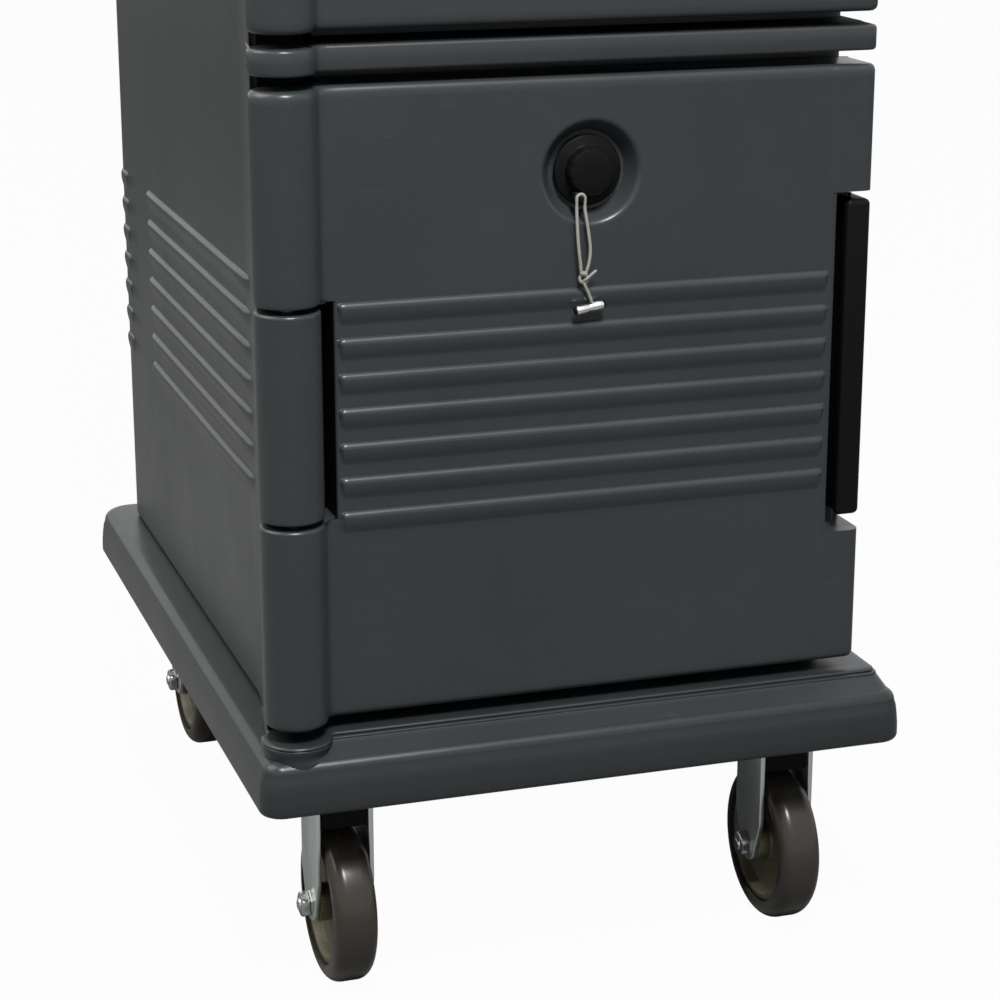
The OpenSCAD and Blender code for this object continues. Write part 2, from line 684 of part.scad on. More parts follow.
// Axle bolt with its head on the +X side, and its nut and thread on the -X side
module axle() color([0.62, 0.64, 0.66]) {
    rotate([0, 90, 0]) cylinder(r = axle_r, h = 2 * leg_out + 2 * nut_h + 2 * stud_len, center = true);
    for (s = [-1, 1]) translate([s * (leg_out + nut_h / 2), 0, 0]) rotate([0, 90, 0])
        cylinder(r = nut_flats / sqrt(3), h = nut_h, center = true, $fn = 6);
}

// Outline of a fixed fork's leg: straight, then narrowing to the round end at the axle
module leg_plan(top) {
    hw = leg_w / 2;
    a = atan2(leg_taper, hw) - acos(leg_end / norm([hw, leg_taper]));
    tx = 0.98 * leg_end * cos(a);
    ty = 0.98 * leg_end * sin(a);
    circle(leg_end);
    polygon([[-hw, top], [-hw, leg_taper], [-tx, ty], [tx, ty], [hw, leg_taper], [hw, top]]);
}

// Fixed caster: top plate, block under it and two straight legs, with the axle's height at zero
module fixed_fork() color([0.72, 0.75, 0.77]) difference() {
    top = plate_z - wheel_r;
    union() {
        translate([-plate_w / 2, -plate_l / 2, top]) cube([plate_w, plate_l, plate_t]);
        translate([-leg_in - eps, -block_d / 2, wheel_r + block_gap])
            cube([2 * (leg_in + eps), block_d, top - wheel_r - block_gap + eps]);
        for (s = [-1, 1]) translate([s * (leg_in + leg_t / 2), 0, 0]) rotate([90, 0, 90])
            linear_extrude(leg_t, center = true) leg_plan(top + eps);
    }
    rotate([0, 90, 0]) cylinder(r = axle_r + fit, h = 4 * leg_out, center = true);
}

// Swivel caster's fixed part: top plate and race, with the floor at zero
module swivel_plate() color([0.72, 0.75, 0.77]) difference() {
    union() {
        translate([-plate_w / 2, -plate_l / 2, plate_z]) cube([plate_w, plate_l, plate_t]);
        translate([0, 0, race_z]) cylinder(r = race_r, h = race_h + eps);
    }
    translate([0, 0, race_z - eps]) cylinder(r = king_r + fit, h = race_h + plate_t);
}

// Kingpin through the race and the fork's crown, with its head under the crown
module kingpin() color([0.62, 0.64, 0.66]) {
    translate([0, 0, crown_z - race_gap - 5]) cylinder(r = king_r * 1.7, h = 5);
    translate([0, 0, crown_z - race_gap - eps]) cylinder(r = king_r, h = plate_z - crown_z + race_gap + eps - 1);
}

// Fork that swivels under the race and trails its axle towards -Y
module swivel_fork() color([0.72, 0.75, 0.77]) difference() {
    union() {
        translate([0, 0, crown_z]) cylinder(r = race_r, h = crown_t);
        translate([-leg_out, -race_r * 0.8, crown_z]) cube([2 * leg_out, race_r * 1.6, crown_t]);
        for (s = [-1, 1]) translate([s * (leg_in + leg_t / 2), 0, 0]) rotate([90, 0, 90])
            linear_extrude(leg_t, center = true) {
                polygon([[-race_r * 0.8, crown_z + crown_t], [race_r * 0.8, crown_z + crown_t],
                    [race_r * 0.8, brake_z - 8], [axle_y + leg_end, wheel_r - 4], [axle_y - leg_end, wheel_r - 4],
                    [axle_y - leg_end, wheel_r + 30]]);
                translate([axle_y, wheel_r]) circle(leg_end);
            }
    }
    translate([0, 0, crown_z - eps]) cylinder(r = king_r + fit, h = crown_t + 2 * eps);
    translate([0, axle_y, wheel_r]) rotate([0, 90, 0]) cylinder(r = axle_r + fit, h = 4 * leg_out, center = true);
    translate([0, brake_y, brake_z]) rotate([0, 90, 0])
        cylinder(r = brake_pin_r + fit, h = 4 * leg_out, center = true);
}

module brake_pin() color([0.62, 0.64, 0.66])
    translate([0, brake_y, brake_z]) rotate([0, 90, 0]) cylinder(r = brake_pin_r, h = 2 * leg_out + 3, center = true);

// Brake pedal: boss and shoe between the legs, arm, and a wide pad behind the fork
module brake() color([0.6, 0.15, 0.12]) translate([0, brake_y, brake_z]) difference() {
    union() {
        rotate([90, 0, 90]) linear_extrude(2 * (leg_in - 1), center = true) {
            circle(brake_pin_r + 3);
            translate([0, -shoe_off]) circle(shoe_r);
            translate([-shoe_r, -shoe_off]) square([2 * shoe_r, shoe_off]);
            translate([0, brake_pin_r + 3 - pedal_t]) square([pedal_len - 6, pedal_t]);
        }
        translate([0, pedal_len - 22, brake_pin_r + 3 - pedal_t]) linear_extrude(pedal_t)
            round_bar(pedal_w, 22, 5);
    }
    rotate([0, 90, 0]) cylinder(r = brake_pin_r + fit, h = 4 * leg_out, center = true);
}

// Places of the casters
module front(s) translate([s * caster_x, -caster_y, 0]) children();
module rear(s) translate([s * caster_x, caster_y, 0]) children();
module at_axle() translate([0, 0, wheel_r]) children();
module at_trail() translate([0, axle_y, wheel_r]) children();

base();
cabinet();
rear_handle();
door(lower_z);  // lower_door
seal(lower_z);  // lower_seal
hinge_pin(lower_z);  // lower_hinge_pin
latch(lower_z);  // lower_latch
latch_pin(lower_z);  // lower_latch_pin
keeper(lower_z);  // lower_keeper
vent_sleeve(lower_z);  // lower_vent_sleeve
vent_cap(lower_z);  // lower_vent_cap
tether(lower_z, left_route);  // lower_tether_left
tether(lower_z, right_route);  // lower_tether_right
toggle(lower_z);  // lower_toggle
door(upper_z);  // upper_door
seal(upper_z);  // upper_seal
hinge_pin(upper_z);  // upper_hinge_pin
latch(upper_z);  // upper_latch
latch_pin(upper_z);  // upper_latch_pin
keeper(upper_z);  // upper_keeper
vent_sleeve(upper_z);  // upper_vent_sleeve
vent_cap(upper_z);  // upper_vent_cap
tether(upper_z, left_route);  // upper_tether_left
tether(upper_z, right_route);  // upper_tether_right
toggle(upper_z);  // upper_toggle
front(-1) at_axle() fixed_fork();  // front_left_fork
front(-1) at_axle() axle();  // front_left_axle
front(-1) at_axle() core();  // front_left_core
front(-1) at_axle() tread();  // front_left_tread
front(1) at_axle() fixed_fork();  // front_right_fork
front(1) at_axle() axle();  // front_right_axle
front(1) at_axle() core();  // front_right_core
front(1) at_axle() tread();  // front_right_tread
rear(-1) swivel_plate();  // rear_left_plate
rear(-1) kingpin();  // rear_left_kingpin
rear(-1) swivel_fork();  // rear_left_fork
rear(-1) at_trail() axle();  // rear_left_axle
rear(-1) at_trail() core();  // rear_left_core
rear(-1) at_trail() tread();  // rear_left_tread
rear(-1) brake_pin();  // rear_left_brake_pin
rear(-1) brake();  // rear_left_brake
rear(1) swivel_plate();  // rear_right_plate
rear(1) kingpin();  // rear_right_kingpin
rear(1) swivel_fork();  // rear_right_fork
rear(1) at_trail() axle();  // rear_right_axle
rear(1) at_trail() core();  // rear_right_core
rear(1) at_trail() tread();  // rear_right_tread
rear(1) brake_pin();  // rear_right_brake_pin
rear(1) brake();  // rear_right_brake
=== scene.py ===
# %% [markdown]
# # Insulated tray cart
# The real cart is made of thick rotomoulded shells with foam inside: a base that is also the bumper, a cabinet with
# two compartments, and two doors. Steel casters, nylon latches and vent caps are bolted or snapped on. The packed
# model gives every piece its place and motion; this file adds soft moulded edges, ribs and finishes. Shapes are
# worked out in millimetres, and become metres in one place.

# %% Load the frame
import json
import math
import bmesh
import bpy
import numpy as np
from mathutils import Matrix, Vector

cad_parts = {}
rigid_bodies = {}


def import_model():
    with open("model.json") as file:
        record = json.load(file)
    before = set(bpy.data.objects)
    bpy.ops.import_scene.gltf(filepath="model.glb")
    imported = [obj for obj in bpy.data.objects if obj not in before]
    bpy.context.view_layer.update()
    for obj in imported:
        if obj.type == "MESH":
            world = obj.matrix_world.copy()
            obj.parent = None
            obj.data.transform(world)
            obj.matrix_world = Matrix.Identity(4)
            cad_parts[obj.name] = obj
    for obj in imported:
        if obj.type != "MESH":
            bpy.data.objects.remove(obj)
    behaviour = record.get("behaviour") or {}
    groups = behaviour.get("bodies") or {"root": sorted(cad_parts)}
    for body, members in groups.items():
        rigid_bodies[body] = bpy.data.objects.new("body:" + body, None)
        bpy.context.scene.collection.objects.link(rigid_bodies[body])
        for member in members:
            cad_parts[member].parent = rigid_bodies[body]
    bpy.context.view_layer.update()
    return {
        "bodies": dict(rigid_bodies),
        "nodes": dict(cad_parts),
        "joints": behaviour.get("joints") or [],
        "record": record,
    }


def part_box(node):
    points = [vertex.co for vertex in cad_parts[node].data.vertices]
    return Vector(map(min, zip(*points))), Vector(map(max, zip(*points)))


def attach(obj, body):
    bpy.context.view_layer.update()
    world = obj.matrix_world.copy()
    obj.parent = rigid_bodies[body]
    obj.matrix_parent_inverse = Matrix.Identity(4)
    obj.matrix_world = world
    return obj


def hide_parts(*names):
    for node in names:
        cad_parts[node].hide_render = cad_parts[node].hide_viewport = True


join = np.concatenate
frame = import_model()

# %% [markdown]
# ## The camera comes first
# The place and lens come from the photograph's own edges: the door, the band and the base are boxes whose corners
# lie on straight lines. A long lens from a little above the cart's middle, turned 18 degrees to the hinge side, puts
# those corners where the photograph has them, with no lens shift.

# %% Camera
def aim(azimuth, elevation):
    """Unit vector from the object towards a camera: azimuth 0 stands in front, at -Y, and elevation is upwards."""
    a, e = math.radians(azimuth), math.radians(elevation)
    return Vector((math.sin(a) * math.cos(e), -math.cos(a) * math.cos(e), math.sin(e)))


def put(name, data):
    """A new object at the origin, in the scene."""
    thing = bpy.data.objects.new(name, data)
    bpy.context.scene.collection.objects.link(thing)
    return thing


lens = bpy.data.cameras.new("camera")
lens.sensor_width = 36.0
lens.lens = 93.01
camera = put("camera", lens)
camera.location = (-0.64172, -2.07986, 0.93846)
camera.rotation_mode = "QUATERNION"
camera.rotation_quaternion = aim(-18.148, 16.502).to_track_quat("Z", "Y")
bpy.context.scene.camera = camera
print("camera at", tuple(round(c, 3) for c in camera.location))

# %% [markdown]
# ## From arrays to meshes
# Every new piece is one or more grids of points. Rows and columns become four-sided faces in a single numpy
# expression, each row closes on itself, and flat caps may close the first and last row. Points that fall together,
# as at the pole of a turned piece, are merged, and the faces are made to point outwards.

# %% Mesh helpers
SAME_POINT = 3e-6                   # metres between two points that are merged
CREASE = math.radians(34)           # sharper edges than this are shaded sharp


def build(name, grids, finish, body, replaces=()):
    """One object from grids of points in mm: capped ones, and ones without caps, which come as (grid, "open"). It
    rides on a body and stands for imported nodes."""
    points, faces, first = [], [], 0
    for grid in grids:
        capped = not isinstance(grid, tuple)
        grid = grid if capped else grid[0]
        rows, cols = grid.shape[:2]
        i, j = np.mgrid[0:rows - 1, 0:cols] * [[[cols]], [[1]]]
        k = (j + 1) % cols
        faces += (np.stack([i + j, i + k, i + cols + k, i + cols + j], -1).reshape(-1, 4) + first).tolist()
        if capped:
            last_row = first + (rows - 1) * cols
            faces += [list(range(first, first + cols))[::-1], list(range(last_row, last_row + cols))]
        points.append(grid.reshape(-1, 3))
        first += rows * cols
    mesh = bpy.data.meshes.new(name)
    mesh.from_pydata((join(points) * 0.001).tolist(), [], faces)
    work = bmesh.new()
    work.from_mesh(mesh)
    bmesh.ops.remove_doubles(work, verts=work.verts, dist=SAME_POINT)
    bmesh.ops.dissolve_degenerate(work, dist=1e-7, edges=work.edges)
    bmesh.ops.recalc_face_normals(work, faces=work.faces)
    work.to_mesh(mesh)
    work.free()
    mesh.polygons.foreach_set("use_smooth", np.ones(len(mesh.polygons), bool))
    mesh.set_sharp_from_angle(angle=CREASE)
    mesh.materials.append(finish)
    piece = put(name, mesh)
    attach(piece, body)
    if replaces:
        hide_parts(*replaces)
    print(f"{name}: {len(mesh.polygons)} faces")
    return piece


# %% [markdown]
# ## Outlines
# Most pieces start from an outline made of straight lines and arcs. `rounded` puts a tangent arc at each corner of a
# polygon, `inset` moves an outline inwards along its own normals, and `hug` presses points on to a rounded
# rectangle. With these three a moulded edge is a few rows whose inset follows a quarter circle.

# %% Outline helpers
def straight(p, q, n):
    """n points evenly from p to q."""
    t = np.linspace(0, 1, n)[:, None]
    return np.asarray(p, float) * (1 - t) + np.asarray(q, float) * t


def arc(cx, cy, r, a0, a1, n):
    """n points on a circle about (cx, cy), from angle a0 to a1 in degrees."""
    a = np.radians(np.linspace(a0, a1, n))
    return np.stack([cx + r * np.cos(a), cy + r * np.sin(a)], 1)


def rounded(corners, n=6):
    """Polygon whose corners (x, y, r) become arcs of radius r, each tangent to the two sides that meet there."""
    c = [np.array(k[:2], float) for k in corners]
    out = []
    for i, (x, y, r) in enumerate(corners):
        if r <= 0:
            out.append(c[i][None])
            continue
        u, v = c[i - 1] - c[i], c[(i + 1) % len(c)] - c[i]
        u, v = u / np.linalg.norm(u), v / np.linalg.norm(v)
        half = math.acos(np.clip(u @ v, -1, 1)) / 2
        centre = c[i] + (u + v) / np.linalg.norm(u + v) * r / math.sin(half)
        p, q = c[i] + u * r / math.tan(half) - centre, c[i] + v * r / math.tan(half) - centre
        a = math.atan2(p[1], p[0])
        turn = (math.atan2(q[1], q[0]) - a + math.pi) % (2 * math.pi) - math.pi
        out.append(arc(*centre, r, math.degrees(a), math.degrees(a + turn), n))
    return join(out)


def inset(outline, d):
    """A closed outline that runs anticlockwise, moved inwards by d (one value, or one for each point)."""
    along = np.roll(outline, -1, 0) - np.roll(outline, 1, 0)
    normal = np.stack([-along[:, 1], along[:, 0]], 1) / np.maximum(np.linalg.norm(along, axis=1), 1e-9)[:, None]
    return outline + normal * np.reshape(d, (-1, 1))


def hug(points, hx, hy, r):
    """Nearest points on a rounded rectangle: clipped to its inner rectangle, then a step of r towards the point."""
    core = np.clip(points, [-(hx - r), -(hy - r)], [hx - r, hy - r])
    way = points - core
    return core + r * way / np.maximum(np.linalg.norm(way, axis=1), 1e-9)[:, None]


def quarter(n=5):
    """(inset, rise) pairs of a rounded edge, as shares of its radius: a quarter circle in n steps."""
    a = np.linspace(0, math.pi / 2, n)
    return np.stack([1 - np.sin(a), 1 - np.cos(a)], 1)


def drawn_in(r, d):
    """How far an edge that is rounded with radius r is drawn in, at a distance d from its end."""
    return r - np.sqrt(np.maximum(r * r - np.maximum(r - d, 0) ** 2, 0))


def ease(t):
    """Smooth step from 0 to 1: three t squared less two t cubed."""
    t = np.clip(t, 0, 1)
    return t * t * (3 - 2 * t)


def stand(outline, z):
    """An outline in plan, lifted to height z."""
    return np.column_stack([outline, np.full(len(outline), z)])


def prism(outline, low, high, r, axis="z", steps=4):
    """Outline carried from low to high along an axis, with its two ends rounded by r."""
    q = quarter(steps) * r
    rows = [(a, low + b) for a, b in q] + [(a, high - b) for a, b in q[::-1]]
    flat = np.stack([stand(inset(outline, a), h) for a, h in rows])
    return flat[:, :, {"z": [0, 1, 2], "y": [0, 2, 1], "x": [2, 0, 1]}[axis]]


def turned(profile, centre, axis, n=72, wave=None):
    """Surface of revolution: every profile point (radius, height) runs round the axis. wave(angle, radius, height)
    may change the radius, as for the scallops of a knob."""
    p = np.asarray(profile, float)
    a = np.linspace(0, 2 * math.pi, n, endpoint=False)[None, :]
    r, h = p[:, :1] + 0 * a, p[:, 1:] + 0 * a
    if wave:
        r = wave(a, r, h)
    u, v = r * np.cos(a), r * np.sin(a)
    x, y, z = {"x": (h, u, v), "y": (v, h, u), "z": (u, v, h)}[axis]
    return np.stack([x + centre[0], y + centre[1], z + centre[2]], -1)


def both_ways(half):
    """A profile given for one half along the axis, mirrored on to the other half."""
    return list(half) + [(r, -h) for r, h in half[::-1]]


rectangle = lambda hx, hy, r, n=8: rounded([(-hx, -hy, r), (hx, -hy, r), (hx, hy, r), (-hx, hy, r)], n)
print("a rounded square has", len(rectangle(1, 1, 0.2)), "points")

# %% [markdown]
# ## Finishes
# Moulded polyethylene is nearly even in colour, but never quite: the pigment is cloudy, the mould leaves a fine
# pebble, and use leaves pale scuffs. These three are node groups, so that the shell, the bumper and the nylon parts
# share them at their own strengths. The shaders stay in the materials.

# %% Node helpers
def group(name, inputs, label, kind):
    """A new shader node group with the given inputs and one output; returns it with its two end nodes."""
    tree = bpy.data.node_groups.new(name, "ShaderNodeTree")
    for entry, value in inputs:
        sort = "NodeSocketColor" if isinstance(value, tuple) else "NodeSocketFloat"
        tree.interface.new_socket(entry, in_out="INPUT", socket_type=sort).default_value = value
    tree.interface.new_socket(label, in_out="OUTPUT", socket_type=kind)
    return tree, tree.nodes.new("NodeGroupInput").outputs, tree.nodes.new("NodeGroupOutput").inputs[label]


def feed(tree, socket, value):
    """Links a socket to another one, or sets it to a number or a colour."""
    if isinstance(value, bpy.types.NodeSocket):
        tree.links.new(value, socket)
    else:
        socket.default_value = (*value, 1) if isinstance(value, tuple) and len(value) == 3 else value


def noise(tree, scale, detail=3.0, rough=0.5, vector=None):
    """A noise texture on Object coordinates; its scale may be a number or a socket."""
    node = tree.nodes.new("ShaderNodeTexNoise")
    if vector is None:
        vector = tree.nodes.new("ShaderNodeTexCoord").outputs["Object"]
    for label, value in (("Scale", scale), ("Detail", detail), ("Roughness", rough), ("Vector", vector)):
        feed(tree, node.inputs[label], value)
    return node.outputs["Fac"]


def stretched(tree, scale, turn=(0.0, 0.0, 0.0)):
    """Object coordinates, turned and scaled, for streaks."""
    node = tree.nodes.new("ShaderNodeMapping")
    node.inputs["Scale"].default_value, node.inputs["Rotation"].default_value = scale, turn
    tree.links.new(tree.nodes.new("ShaderNodeTexCoord").outputs["Object"], node.inputs["Vector"])
    return node.outputs["Vector"]


def maths(tree, kind, a, b=0.0, clamp=False):
    """A Math node of two values or sockets."""
    node = tree.nodes.new("ShaderNodeMath")
    node.operation, node.use_clamp = kind, clamp
    feed(tree, node.inputs[0], a)
    feed(tree, node.inputs[1], b)
    return node.outputs[0]


def scaled(tree, value, factor, more):
    """value times factor, plus more."""
    return maths(tree, "ADD", maths(tree, "MULTIPLY", value, factor), more)


def above(tree, value, start, gain):
    """A mask that rises from 0 to 1 above a start, with a gain."""
    return maths(tree, "MULTIPLY", maths(tree, "SUBTRACT", value, start), gain, True)


def blend(tree, share, a, b, kind="MIX"):
    """A colour mix of two colours or sockets by a share."""
    node = tree.nodes.new("ShaderNodeMix")
    node.data_type, node.blend_type = "RGBA", kind
    for name, value in (("Factor_Float", share), ("A_Color", a), ("B_Color", b)):
        feed(tree, next(s for s in node.inputs if s.identifier == name), value)
    return next(s for s in node.outputs if s.identifier == "Result_Color")


# %% Groups for moulded plastic: cloud, pebble, scuffs
cloud, given, result = group("pigment cloud", [("Colour", (0.05, 0.05, 0.05, 1)), ("Strength", 0.15), ("Scale", 7.0)],
                             "Colour", "NodeSocketColor")
broad, fine = noise(cloud, given["Scale"], 4.0, 0.6), noise(cloud, 210.0, 2.0, 0.5)
both = scaled(cloud, broad, 0.75, maths(cloud, "MULTIPLY", fine, 0.25))
level = scaled(cloud, maths(cloud, "SUBTRACT", both, 0.5), maths(cloud, "MULTIPLY", given["Strength"], 4.0), 1.0)
grey = cloud.nodes.new("ShaderNodeCombineColor")
for channel in grey.inputs[:3]:
    feed(cloud, channel, level)
feed(cloud, result, blend(cloud, 1.0, given["Colour"], grey.outputs[0], "MULTIPLY"))

pebble, given, result = group("mould pebble", [("Fine", 620.0), ("Broad", 16.0), ("Broad share", 0.6)],
                              "Height", "NodeSocketFloat")
small, large = noise(pebble, given["Fine"], 2.0, 0.55), noise(pebble, given["Broad"], 2.0, 0.45)
feed(pebble, result, scaled(pebble, small, 0.06, maths(pebble, "MULTIPLY", large, given["Broad share"])))

scuff, given, result = group("scuffs", [("Amount", 0.3), ("Scale", 24.0)], "Mask", "NodeSocketFloat")
streak = noise(scuff, given["Scale"], 5.0, 0.7, stretched(scuff, (1.0, 1.0, 7.0), (0.5, 0.35, 0.0)))
patches = noise(scuff, 3.0, 2.0, 0.5)
mask = maths(scuff, "MULTIPLY", above(scuff, streak, 0.6, 7.0), above(scuff, patches, 0.42, 5.0))
feed(scuff, result, maths(scuff, "MULTIPLY", mask, given["Amount"]))
print("groups", [g.name for g in bpy.data.node_groups])


# %% Materials
def new_material(name):
    """A new material, its node tree and its shader."""
    material = bpy.data.materials.new(name)
    material.use_nodes = True
    return material, material.node_tree, material.node_tree.nodes["Principled BSDF"]


def use(tree, shared, **values):
    """Places a shared group in a material with its own values."""
    node = tree.nodes.new("ShaderNodeGroup")
    node.node_tree = shared
    for label, value in values.items():
        node.inputs[label].default_value = value
    return node.outputs[0]


def relief(tree, shader, height, distance):
    """Gives a shader a bump from a height."""
    node = tree.nodes.new("ShaderNodeBump")
    node.inputs["Strength"].default_value, node.inputs["Distance"].default_value = 1.0, distance
    feed(tree, node.inputs["Height"], height)
    feed(tree, shader.inputs["Normal"], node.outputs["Normal"])


def moulded(name, colour, roughness, cloudiness=0.12, scuffs=0.25, bump=0.0006, broad=16.0, pale=1.9, gleam=0.25):
    """Moulded plastic: cloudy pigment, pale rougher scuffs, and the mould's pebble as a bump."""
    material, tree, shader = new_material(name)
    shader.inputs["Specular IOR Level"].default_value = gleam
    tint, mark = use(tree, cloud, Colour=(*colour, 1), Strength=cloudiness), use(tree, scuff, Amount=scuffs)
    feed(tree, shader.inputs["Base Color"], blend(tree, mark, tint, tuple(min(c * pale, 1) for c in colour)))
    shine = scaled(tree, noise(tree, 11.0, 3.0), 0.16, roughness - 0.08)
    feed(tree, shader.inputs["Roughness"], maths(tree, "ADD", shine, maths(tree, "MULTIPLY", mark, 0.2)))
    relief(tree, shader, use(tree, pebble, Broad=broad), bump)
    return material


def metal(name, colour, roughness, streaks=(1.0, 1.0, 1.0), spots=0.25, bump=0.00006):
    """Plated steel: a metal whose tone, gloss and relief vary along streaks and over crystal-like spots."""
    material, tree, shader = new_material(name)
    shader.inputs["Metallic"].default_value = 1.0
    drawn, cells = noise(tree, 160.0, 4.0, 0.6, stretched(tree, streaks)), noise(tree, 38.0, 3.0, 0.6)
    tone = scaled(tree, cells, spots, maths(tree, "MULTIPLY", drawn, 0.2))
    feed(tree, shader.inputs["Base Color"], blend(tree, tone, colour, tuple(c * 0.45 for c in colour)))
    feed(tree, shader.inputs["Roughness"], scaled(tree, drawn, 0.22, roughness - 0.1))
    relief(tree, shader, drawn, bump)
    return material


shell_finish = moulded("charcoal shell", (0.0300, 0.0340, 0.0360), 0.30, gleam=0.34)
bumper_finish = moulded("charcoal bumper", (0.0218, 0.0247, 0.0262), 0.31, scuffs=0.5, gleam=0.32)
nylon_finish = moulded("black nylon", (0.005, 0.005, 0.005), 0.40, 0.08, 0.15, 0.0003, 40.0, gleam=0.07)
seal_finish = moulded("seal rubber", (0.012, 0.012, 0.012), 0.7, 0.1, 0.1, 0.0003, 60.0)
tread_finish = moulded("wheel tread", (0.036, 0.030, 0.025), 0.26, 0.12, 0.25, 0.0003, 40.0, gleam=0.27)
core_finish = moulded("wheel core", (0.088, 0.080, 0.048), 0.42, 0.2, 0.2, 0.0003, 40.0, 1.4, 0.35)
pedal_finish = moulded("red coated steel", (0.20, 0.016, 0.012), 0.4, 0.12, 0.4, 0.0003, 50.0)
steel_finish = metal("zinc plated steel", (0.68, 0.74, 0.71), 0.36, (1.0, 1.0, 0.12))
pin_finish = metal("pin steel", (0.30, 0.30, 0.29), 0.34, (1.0, 1.0, 0.05))
wire_finish = metal("polished bar", (0.82, 0.82, 0.80), 0.22, (0.3, 1.0, 1.0), 0.1)
# The latch pins' steel is darkened for the shade of the recess they sit in: painted shade.
shaded_pin_finish = metal("pin steel in painted shade", (0.035, 0.035, 0.035), 0.5, (1.0, 1.0, 0.05))
nut_finish = metal("bright nut steel", (0.52, 0.53, 0.52), 0.24, (1.0, 1.0, 1.0), 0.35)
cord_finish = moulded("pale cord", (0.25, 0.24, 0.21), 0.55, 0.25, 0.1, 0.0004, 60.0, 1.2)
# Near-black finish for faces deep in the gaps and the latch recess: painted shade, not the plastic's own colour.
gap_shade_finish = moulded("painted gap shade", (0.008, 0.008, 0.008), 0.7, 0.1, 0.1, 0.0003, gleam=0.05)
# A near-black block between a front fork's legs stands in for the deep shade under the base: painted shade.
shade_block_finish = moulded("painted shade block", (0.009, 0.008, 0.007), 0.5, 0.15, 0.2, 0.0003, 40.0, gleam=0.05)
print("finishes", [m.name for m in bpy.data.materials])

# %% [markdown]
# ## Sizes that the moulded shells share
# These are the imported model's own sizes: the doors' face, the hinges' axis at the left front corner, and where each
# door starts. The upper compartment repeats the lower one 507 mm higher.

# %% Shared sizes
RIGHT, FACE, BACK = 228.5, -330.0, 330.0        # planes of the right wall, the doors' faces and the back
FRAME_Y, DOOR_BACK = -270.0, -278.0             # planes of the front frame and of the doors' inner side
AXIS, BARREL = (-227.0, -331.0), 24.0           # the hinges' axis, and the radius of every knuckle
LOWER, PITCH, DOOR_H = 235.5, 507.0, 468.5      # the lower door's lower edge, the step between doors, their height
SIDES = {"lower": LOWER, "upper": LOWER + PITCH}
RIBS = 232.3 + 25.9 * np.arange(-3, 4)          # these heights are all over a door's lower edge
MIDDLE, FLOOR, ROOF, BAND = 234.0, 26.5, 441.5, 478.5
KNUCKLE, KEEPER = (158.5, 312.5), (188.0, 292.0)
VENT_X, VENT = 2.0, 399.0
TRAY_RAILS = 52 + 72 * np.arange(5)             # these are over a compartment's floor
low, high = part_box("lower_door")
print("door box in mm", [round(c * 1000, 1) for c in (*low, *high)])


def rib_height(off, beyond=0.0, rise=3.4):
    """How far a rib stands out: a steep ellipse over 4.8 mm above its crest, a long soft bell over 12 mm below it."""
    far = np.hypot(off / np.where(off > 0, 4.8, 12.0), np.maximum(beyond, 0) / 5.2)
    return rise * np.clip(1 - far ** 2, 0, 1) ** np.where(off > 0, 0.6, 1.3)


def heights_with(edges, z0, z1, coarse, crests):
    """Row heights from z0 to z1: a coarse ladder, a fine one across each rib, and the given edges."""
    across = np.append(np.arange(-12.4, 4.4, 1.2), [4.6, 4.9, 5.8])
    z = np.unique(np.round(join([np.arange(z0, z1, coarse), [z1], *(c + across for c in crests), edges]), 2))
    return z[(z >= z0) & (z <= z1)]


# %% [markdown]
# ## The doors
# A door is one closed outline in plan, carried up in rows. The outline runs round the hinge barrel, across the face,
# round the free edge and back. Between the two knuckles the barrel part falls back to the panel's side, and at the
# latch the free edge falls back to the recess's floor. The face is a height field: seven ribs rise from it, and
# the vent's cone sinks into it. Rows are close together only where the shape changes.

# %% Door outline and face
def door_face(x, up):
    """Distance of the face behind the plane of the door, at (x, height over the door's edge): vent less ribs."""
    r = np.hypot(x - VENT_X, up - VENT)
    into = np.clip(39.6 - r, 0, None)
    cone = np.minimum(1.6 * np.where(into < 4.0, into ** 2 / 8.0, into - 2.0), 13.4)
    hole = np.where(r < 9.5, 38.0, 0.0)
    ribs = sum(rib_height(up - z, np.abs(x - 1.25) - 187.0) for z in RIBS)
    soft = 0.22 * (np.sin(x / 61.0 + 1.0) * np.sin(up / 83.0) + 1.0)
    return soft * np.clip((r - 36) / 20, 0, 1) + cone + hole - ribs


def door_outline(up, knuckle, recess, barrel_in=0.0, edge_in=0.0):
    """Plan of a door at a height over its lower edge, anticlockwise from the back of the hinge neck."""
    if knuckle:
        barrel = join([arc(*AXIS, BARREL, 69.6, 346, 30), arc(-195, -339, 9, 166, 90, 7)])
    else:
        barrel = join([straight((-193, -308.5), (-193, -327.5), 30), arc(-190.5, -327.5, 2.5, 180, 270, 7)])
    if recess:
        free = rounded([(194, FACE, 0), (199.5, -328.6, 3), (200, -290, 3.5), (228.2, -290, 1.5), (228.2, -284, 0)])
    else:
        free = join([straight((194, FACE), (219, FACE), 6), arc(220.5, -322, 8, -90, 0, 7),
                     straight((RIGHT, -320), (RIGHT, -284), 7)])
    back = rounded([(RIGHT, -282, 0), (RIGHT, DOOR_BACK, 2), (-193, DOOR_BACK, 2), (-193, -300, 0)], 5)
    outline = join([barrel, np.column_stack([FACE_X, FACE + 0 * FACE_X]), free, back])
    start = len(barrel)
    if barrel_in:
        k = np.arange(start)
        taper = np.clip(k[::-1] / 6.0, 0, 1) * np.clip(k / 2.0, 0, 1)
        outline[:start] = inset(outline, np.append(barrel_in * taper, np.zeros(len(outline) - start)))[:start]
    if edge_in:
        outline = inset(outline, edge_in)
    if edge_in < 2:
        outline[start:start + len(FACE_X), 1] += door_face(FACE_X, up)
    return outline


